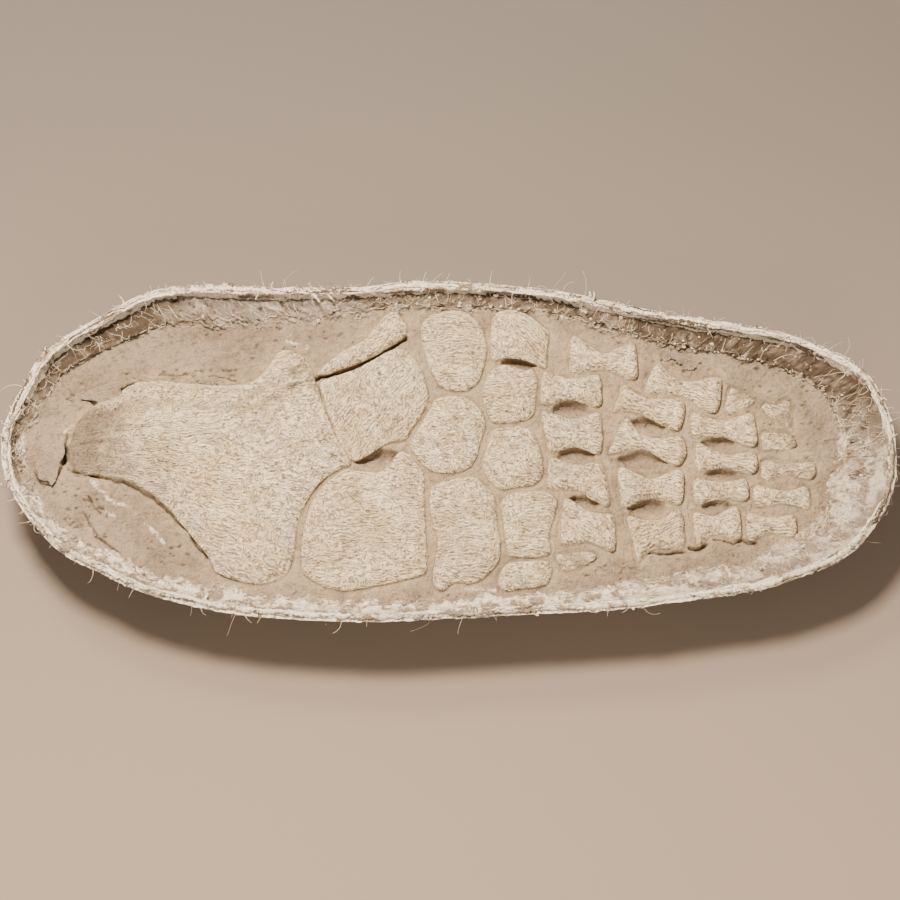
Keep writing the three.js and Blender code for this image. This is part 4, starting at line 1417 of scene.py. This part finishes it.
def build_sediment(outlines):
    """The surface of the sediment; returns a function that gives its height."""
    reach_x, reach_y = math.ceil(HALF_LENGTH), math.ceil(HALF_WIDTH)
    xs = np.arange(-reach_x, reach_x + GRID_STEP, GRID_STEP)
    ys = np.arange(-reach_y, reach_y + GRID_STEP, GRID_STEP)
    gx, gy = np.meshgrid(xs, ys)
    flat = np.stack([gx.ravel(), gy.ravel()], 1)
    wall_loop = np.stack(inset_rim(RIM, LIP_INSET + 0.4 * RUNS), 1)[::4]
    keep = inside_loop(flat, wall_loop).reshape(gx.shape)
    to_wall = distance_to_loop(flat, wall_loop).reshape(gx.shape)
    near_bone, lip, in_bone = bone_surroundings(gx, gy, outlines)

    z = sediment_height(gx, gy)
    z += 1.5 * np.exp(-to_wall / 30) + 2.0 * smooth(-gy, -40, 120) * np.exp(-to_wall / 22)
    z = bed_bones(gx, gy, z, near_bone, lip)
    hollow = np.zeros(gx.shape)
    dig_pits(gx, gy, z, hollow)
    z[in_bone] = SEDIMENT_LEVEL - 14
    # Painted shade in a narrow band round the foot of each bone.
    edge_shade = 0.7 + 0.6 * fractal(gx / 14, gy / 14, 291, 3)
    hollow = np.maximum(hollow, 0.75 * edge_shade * np.exp(-(near_bone / 2.6) ** 2))

    wx = gx + 2.6 * fractal(gx / 10, gy / 10, 251, 3)
    wy = gy + 2.6 * fractal(gx / 10 + 30, gy / 10, 254, 3)
    uneven = 1 + 0.7 * fractal(gx / 8, gy / 8, 257, 3)
    for width, drop, path in SEDIMENT_CRACKS:
        line = np.exp(-(path_distance(wx, wy, path) / (width * uneven)) ** 2)
        z -= drop * line
        # Painted shade along each crack.
        hollow = np.maximum(hollow, 1.2 * line)
    add_specks(gx, gy, xs, ys, z, hollow)
    chalk = chalk_cover(gx, gy, wx, wy, to_wall)
    cream = 0.62 * np.exp(-near_bone / 13) * smooth(fractal(gx / 24, gy / 24, 295, 4), -0.75, 0.25)

    quads, used = trim_grid(keep)
    vertices = np.stack([gx[keep], gy[keep], z[keep]], 1)[used]
    attributes = {"hollow": hollow[keep][used], "chalk": chalk[keep][used],
                  "cream": cream[keep][used]}
    vertices, faces, attributes = add_skirt(vertices, quads, attributes)
    piece = make_object("sediment_surface", vertices, faces, SEDIMENT, attributes)
    finish_piece(piece, "sediment", "sediment_matrix")

    def ground_height(x, y):
        column = np.clip(((x - xs[0]) / GRID_STEP).astype(int), 0, len(xs) - 1)
        row = np.clip(((y - ys[0]) / GRID_STEP).astype(int), 0, len(ys) - 1)
        return z[row, column]

    return ground_height


# Loose chips of hardened sediment: thickness, tilt along X and Y, outline.
CHIPS = [
    (6.0, (0.02, 0.05), [(-489, 77), (-471, 71), (-457, 58), (-450, 63), (-447, 70), (-437, 78),
                         (-430, 81), (-436, 87), (-425, 94), (-419, 101), (-441, 99), (-462, 93),
                         (-480, 87)]),
    (6.4, (0.06, 0.04), [(-547, -14), (-541, -36), (-529, -40), (-524, -46), (-517, -34),
                         (-514, -15), (-509, -8), (-510, 14), (-516, 24), (-522, 12),
                         (-536, 8), (-538, -4)]),
    (6.5, (0.0, 0.12), [(296, 138), (306, 127), (322, 116), (331, 120), (319, 133), (306, 142)]),
    (5.0, (0.0, 0.06), [(284, 144), (281, 136), (289, 128), (298, 134), (295, 146)]),
    (3.4, (0.03, 0.05), [(-512, -99), (-503, -115), (-484, -119), (-470, -138), (-446, -145),
                         (-455, -124), (-466, -118), (-471, -103), (-490, -104)]),
]
CHIP_SIDES = 130


def build_chips():
    for index, (thickness, tilt, outline) in enumerate(CHIPS):
        seed = 820 + 7 * index
        loop, marks, length = resample_closed(closed_curve(outline, 10), CHIP_SIDES)
        jag = fractal(marks / length * 20, np.zeros(CHIP_SIDES), seed, 4, 0.65, 20)
        loop = loop + outward_normals(loop) * (2.6 * jag)[:, None]
        centre = star_centre(loop)
        shares = 1 - np.linspace(0, 1, 18, endpoint=False) ** 1.1
        top = centre + (loop - centre) * shares[:, None, None]
        x, y = top[..., 0], top[..., 1]
        depth = distance_to_loop(top.reshape(-1, 2), loop).reshape(x.shape)
        z = SEDIMENT_LEVEL + thickness - 1.6 + 1.6 * (1 - np.exp(-depth / 0.8))
        z += 0.9 * fractal(x / 14, y / 14, seed + 1, 4, 0.6)
        z += 0.35 * fractal(x / 3, y / 3, seed + 5, 2)
        z += (x - centre[0]) * tilt[0] + (y - centre[1]) * tilt[1]
        normals = outward_normals(loop)
        walls = [np.column_stack([loop - normals * inset, z[0] - drop])
                 for inset, drop in ((3.0, thickness + 5), (2.0, 3.6), (0.9, 1.6))]
        vertices, faces = capped_grid(
            np.concatenate([np.array(walls), np.dstack([x, y, z])]),
            [*centre, SEDIMENT_LEVEL - 5], [*centre, z[-1].mean()],
        )
        below = len(walls) * CHIP_SIDES
        pale = 0.08 + 0.3 * smooth(2 - depth, 0, 2)
        chalk = np.concatenate([np.zeros(below), pale.ravel(), [0, 0]])
        # Painted shade on each chip's sides and underside.
        hollow = np.concatenate([np.full(below, 0.7), np.zeros(x.size), [0.7, 0]])
        piece = make_object(f"sediment_chip_{index + 1}", vertices, faces, SEDIMENT,
                            {"hollow": hollow, "chalk": chalk})
        finish_piece(piece, "sediment")


# How far the foot of the sediment stands in from its edge, along X and Y.
FOOT_INSET = (50, 24)


def add_skirt(vertices, quads, attributes):
    """Closes the height field with a wall and a floor under it."""
    edges = np.concatenate([quads[:, [0, 1]], quads[:, [1, 2]], quads[:, [2, 3]], quads[:, [3, 0]]])
    keys = {(int(a), int(b)) for a, b in edges}
    border = {a: b for a, b in keys if (b, a) not in keys}
    start = min(border)
    loop = [start]
    while border[loop[-1]] != start:
        loop.append(border[loop[-1]])
    count = len(loop)
    base = len(vertices)
    foot = vertices[loop]
    foot = foot * [1 - FOOT_INSET[0] / HALF_LENGTH, 1 - FOOT_INSET[1] / HALF_WIDTH, 1]
    foot[:, 2] = SEDIMENT_FOOT
    vertices = np.concatenate([vertices, foot])
    faces = quads.tolist()
    for i in range(count):
        n = (i + 1) % count
        faces.append((base + i, base + n, loop[n], loop[i]))
    faces.append([base + i for i in range(count)][::-1])
    extended = {k: np.concatenate([v, v[loop]]) for k, v in attributes.items()}
    return vertices, faces, extended


# Crumbs and fibres

def lump(rng, size, centre):
    """One small angular stone."""
    phi = (1 + 5 ** 0.5) / 2
    corners = np.array([
        (-1, phi, 0), (1, phi, 0), (-1, -phi, 0), (1, -phi, 0), (0, -1, phi), (0, 1, phi),
        (0, -1, -phi), (0, 1, -phi), (phi, 0, -1), (phi, 0, 1), (-phi, 0, -1), (-phi, 0, 1),
    ], float) / math.hypot(1, phi)
    sides = [
        (0, 11, 5), (0, 5, 1), (0, 1, 7), (0, 7, 10), (0, 10, 11), (1, 5, 9), (5, 11, 4),
        (11, 10, 2), (10, 7, 6), (7, 1, 8), (3, 9, 4), (3, 4, 2), (3, 2, 6), (3, 6, 8),
        (3, 8, 9), (4, 9, 5), (2, 4, 11), (6, 2, 10), (8, 6, 7), (9, 8, 1),
    ]
    turned, _ = np.linalg.qr(rng.normal(size=(3, 3)))
    corners = corners @ turned * rng.uniform(0.72, 1.25, (12, 1))
    corners = corners * [1.0, rng.uniform(0.7, 1.0), rng.uniform(0.55, 0.9)] * size
    if np.linalg.det(turned) < 0:
        sides = [tuple(reversed(s)) for s in sides]
    return corners + centre, sides


def scatter_lumps(name, spots, material, slot, seed, **attributes):
    """Small stones at the spots, each a place and a size."""
    rng = np.random.default_rng(seed)
    heap = Heap()
    for place, size in spots:
        corners, sides = lump(rng, size, place)
        filled = {key: np.full(len(corners), value) for key, value in attributes.items()}
        heap.add(corners, sides, cloth=corners * MM, **filled)
    heap.make(name, material, slot, shade_smooth=False)


# Middle direction, spread and number of the crumbs on the lining.
CRUMB_CLUSTERS = [(88, 14, 110), (60, 14, 110), (178, 25, 30), (-40, 40, 60), (-110, 40, 110),
                  (32, 16, 90)]
GRAIN_COUNT = 420


def build_crumbs(lining, angles, ground_height):
    rng = np.random.default_rng(31)
    spots = []
    for middle, spread, number in CRUMB_CLUSTERS:
        for _ in range(number):
            angle = rng.normal(middle, spread)
            row = rng.integers(10, LINING_ROWS - 9)
            column = (nearest_turn(angles, angle) + rng.integers(-6, 7)) % LINING_SIDES
            size = min(4.6, 0.7 + rng.exponential(0.9))
            spots.append((lining[row, column] + [0, 0, 0.35 * size], size))
    half = len(spots) // 2
    order = rng.permutation(len(spots))
    for name, chosen, crease in (("pale", order[:half], 0.1), ("dark", order[half:], 0.6)):
        scatter_lumps("plaster_crumbs_" + name, [spots[i] for i in chosen], CRUMB_PLASTER,
                      "plaster_burlap", 7, crease=crease, bare=0.35)
    grains = []
    while len(grains) < GRAIN_COUNT:
        k = rng.integers(len(RIM))
        x, y = inset_rim(RIM[k], LIP_INSET + RUNS[k] + 2 + rng.exponential(16))
        size = min(2.8, 0.4 + rng.exponential(0.55))
        height = ground_height(np.array([x]), np.array([y]))[0]
        grains.append((np.array([x, y, height + 0.3 * size]), size))
    # The loose grains get a light touch of painted shade all over.
    scatter_lumps("sediment_grains", grains, SEDIMENT, "sediment", 9, hollow=0.15, chalk=0.0)


def tube(path, radius, sides=4):
    """A thin closed tube along a path."""
    path = np.asarray(path)
    along = np.gradient(path, axis=0)
    along /= np.linalg.norm(along, axis=1, keepdims=True)
    side = np.cross(along, [0.3, 0.2, 0.93])
    side /= np.linalg.norm(side, axis=1, keepdims=True)
    up = np.cross(side, along)
    turn = np.arange(sides) / sides * 2 * math.pi
    ring = np.cos(turn)[None, :, None] * side[:, None] + np.sin(turn)[None, :, None] * up[:, None]
    taper = np.linspace(1, 0.45, len(path))[:, None, None]
    points = path[:, None] + ring * radius * taper
    return points.reshape(-1, 3), swept_faces(len(path), sides)


def fibre_path(rng, start, direction, length, curl, points=9):
    """A springy strand that wanders from its root."""
    heading = np.array(direction, float)
    heading /= np.linalg.norm(heading)
    bend = rng.normal(size=3) * curl
    path = [np.array(start, float)]
    for _ in range(points - 1):
        bend += rng.normal(size=3) * curl * 0.35
        heading = heading + bend / points * 2.2
        heading /= np.linalg.norm(heading)
        path.append(path[-1] + heading * length / (points - 1))
    return np.array(path)


def join_tubes(name, strands, slot):
    heap = Heap()
    for path, radius in strands:
        heap.add(*tube(path, radius))
    heap.make(name, FIBRE, slot)


REACH_LIMIT = np.array([HALF_LENGTH + 34, HALF_WIDTH + 19, RIM_HEIGHT + 12])
OUTER_FIBRES = 360
INNER_FIBRES = 260
LOOSE_FIBRES = 130
LOOSE_REACH = (520, 190)


def build_fibres(shell, places, ground_height):
    rng = np.random.default_rng(77)
    count = shell.shape[1]
    strands = []

    def add(path, radius):
        if (np.abs(path) <= REACH_LIMIT).all() and path[:, 2].min() > 1:
            strands.append((path, radius))

    for _ in range(OUTER_FIBRES):
        k = rng.integers(count)
        if -160 < RIM_ANGLES[k] < -20 and rng.random() < 0.6:
            continue
        row = nearest_row(places, rng.uniform(3.2, 6.8))
        direction = RIM_OUTWARD[k] * rng.uniform(0.5, 1.2) + rng.normal(size=3) * 0.55
        length = rng.uniform(6, 20) if rng.random() < 0.75 else rng.uniform(18, 42)
        add(fibre_path(rng, shell[row, k], direction, length, 0.5), rng.uniform(0.22, 0.42))
    for _ in range(INNER_FIBRES):
        k = rng.integers(count)
        row = nearest_row(places, rng.uniform(8.6, 12))
        direction = -RIM_OUTWARD[k] * rng.uniform(0.2, 1.0) + rng.normal(size=3) * 0.6
        direction = direction + [0, 0, 0.25]
        add(fibre_path(rng, shell[row, k], direction, rng.uniform(8, 34), 0.75),
            rng.uniform(0.2, 0.42))
    join_tubes("jacket_fibres", strands, "plaster_burlap")

    loose = []
    reach_x, reach_y = LOOSE_REACH
    while len(loose) < LOOSE_FIBRES:
        x = rng.uniform(-reach_x, reach_x)
        y = rng.uniform(-reach_y, reach_y)
        if (x / reach_x) ** 2 + (y / reach_y) ** 2 >= 1:
            continue
        heading = rng.uniform(0, 2 * math.pi)
        path = fibre_path(rng, (x, y, 0), (math.cos(heading), math.sin(heading), 0),
                          rng.uniform(8, 34), 0.7)
        path[:, 2] = ground_height(path[:, 0], path[:, 1]) + 0.4
        if np.ptp(path[:, 2]) <= 5:
            loose.append((path, rng.uniform(0.18, 0.34)))
    join_tubes("sediment_fibres", loose, "sediment")


# Stage, light and camera

FLOOR_REACH = 6.0


def build_stage():
    mesh = bpy.data.meshes.new("studio_floor")
    signs = ((-1, -1), (1, -1), (1, 1), (-1, 1))
    corners = [(x * FLOOR_REACH, y * FLOOR_REACH, 0) for x, y in signs]
    mesh.from_pydata(corners, [], [(0, 1, 2, 3)])
    mesh.materials.append(floor_material())
    floor = bpy.data.objects.new("studio_floor", mesh)
    bpy.context.scene.collection.objects.link(floor)


# Name, place in metres, size, power and colour.
LIGHTS = [
    ("key", (-0.7, 0.9, 3.2), (0.7, 0.6), 325, (1.0, 0.89, 0.765)),
    ("back", (-1.1, 1.95, 2.85), (0.8, 0.6), 90, (1.0, 0.89, 0.765)),
    ("fill", (0.5, -3.4, 2.6), (2.6, 1.6), 80, (1.0, 0.91, 0.81)),
]
LIGHTS_AIM = (0, 0, 0.1)


def build_lights():
    for name, place, size, power, colour in LIGHTS:
        light = bpy.data.lights.new(name, "AREA")
        light.shape = "RECTANGLE"
        light.size, light.size_y = size
        light.energy = power
        light.color = colour
        lamp = bpy.data.objects.new(name, light)
        lamp.location = place
        direction = Vector(LIGHTS_AIM) - Vector(place)
        lamp.rotation_euler = direction.to_track_quat("-Z", "Y").to_euler()
        bpy.context.scene.collection.objects.link(lamp)
    world = bpy.data.worlds.new("studio")
    bpy.context.scene.world = world
    world.use_nodes = True
    background = world.node_tree.nodes["Background"]
    background.inputs["Color"].default_value = (1.0, 0.90, 0.79, 1)
    background.inputs["Strength"].default_value = 0.34


CAMERA_ELEVATION = 72
CAMERA_DISTANCE = 4.97
CAMERA_AIM = (0.002, 0.004, 0.1)


def build_camera():
    camera = bpy.data.cameras.new("camera")
    camera.sensor_width = 36
    camera.lens = 150
    holder = bpy.data.objects.new("camera", camera)
    rise = math.radians(CAMERA_ELEVATION)
    aim = Vector(CAMERA_AIM)
    place = aim + Vector((0, -math.cos(rise), math.sin(rise))) * CAMERA_DISTANCE
    holder.location = place
    holder.rotation_euler = (aim - place).to_track_quat("-Z", "Y").to_euler()
    bpy.context.scene.collection.objects.link(holder)
    bpy.context.scene.camera = holder


build_camera()
shell_points, shell_places = build_jacket()
lining_points, lining_angles = build_lining()
build_strands(lining_points, lining_angles)
build_strips(shell_points, shell_places)
bone_outlines = build_bones()
ground = build_sediment(bone_outlines)
build_chips()
build_flaps(shell_points, shell_places)
build_crumbs(lining_points, lining_angles, ground)
build_fibres(shell_points, shell_places, ground)
build_stage()
build_lights()
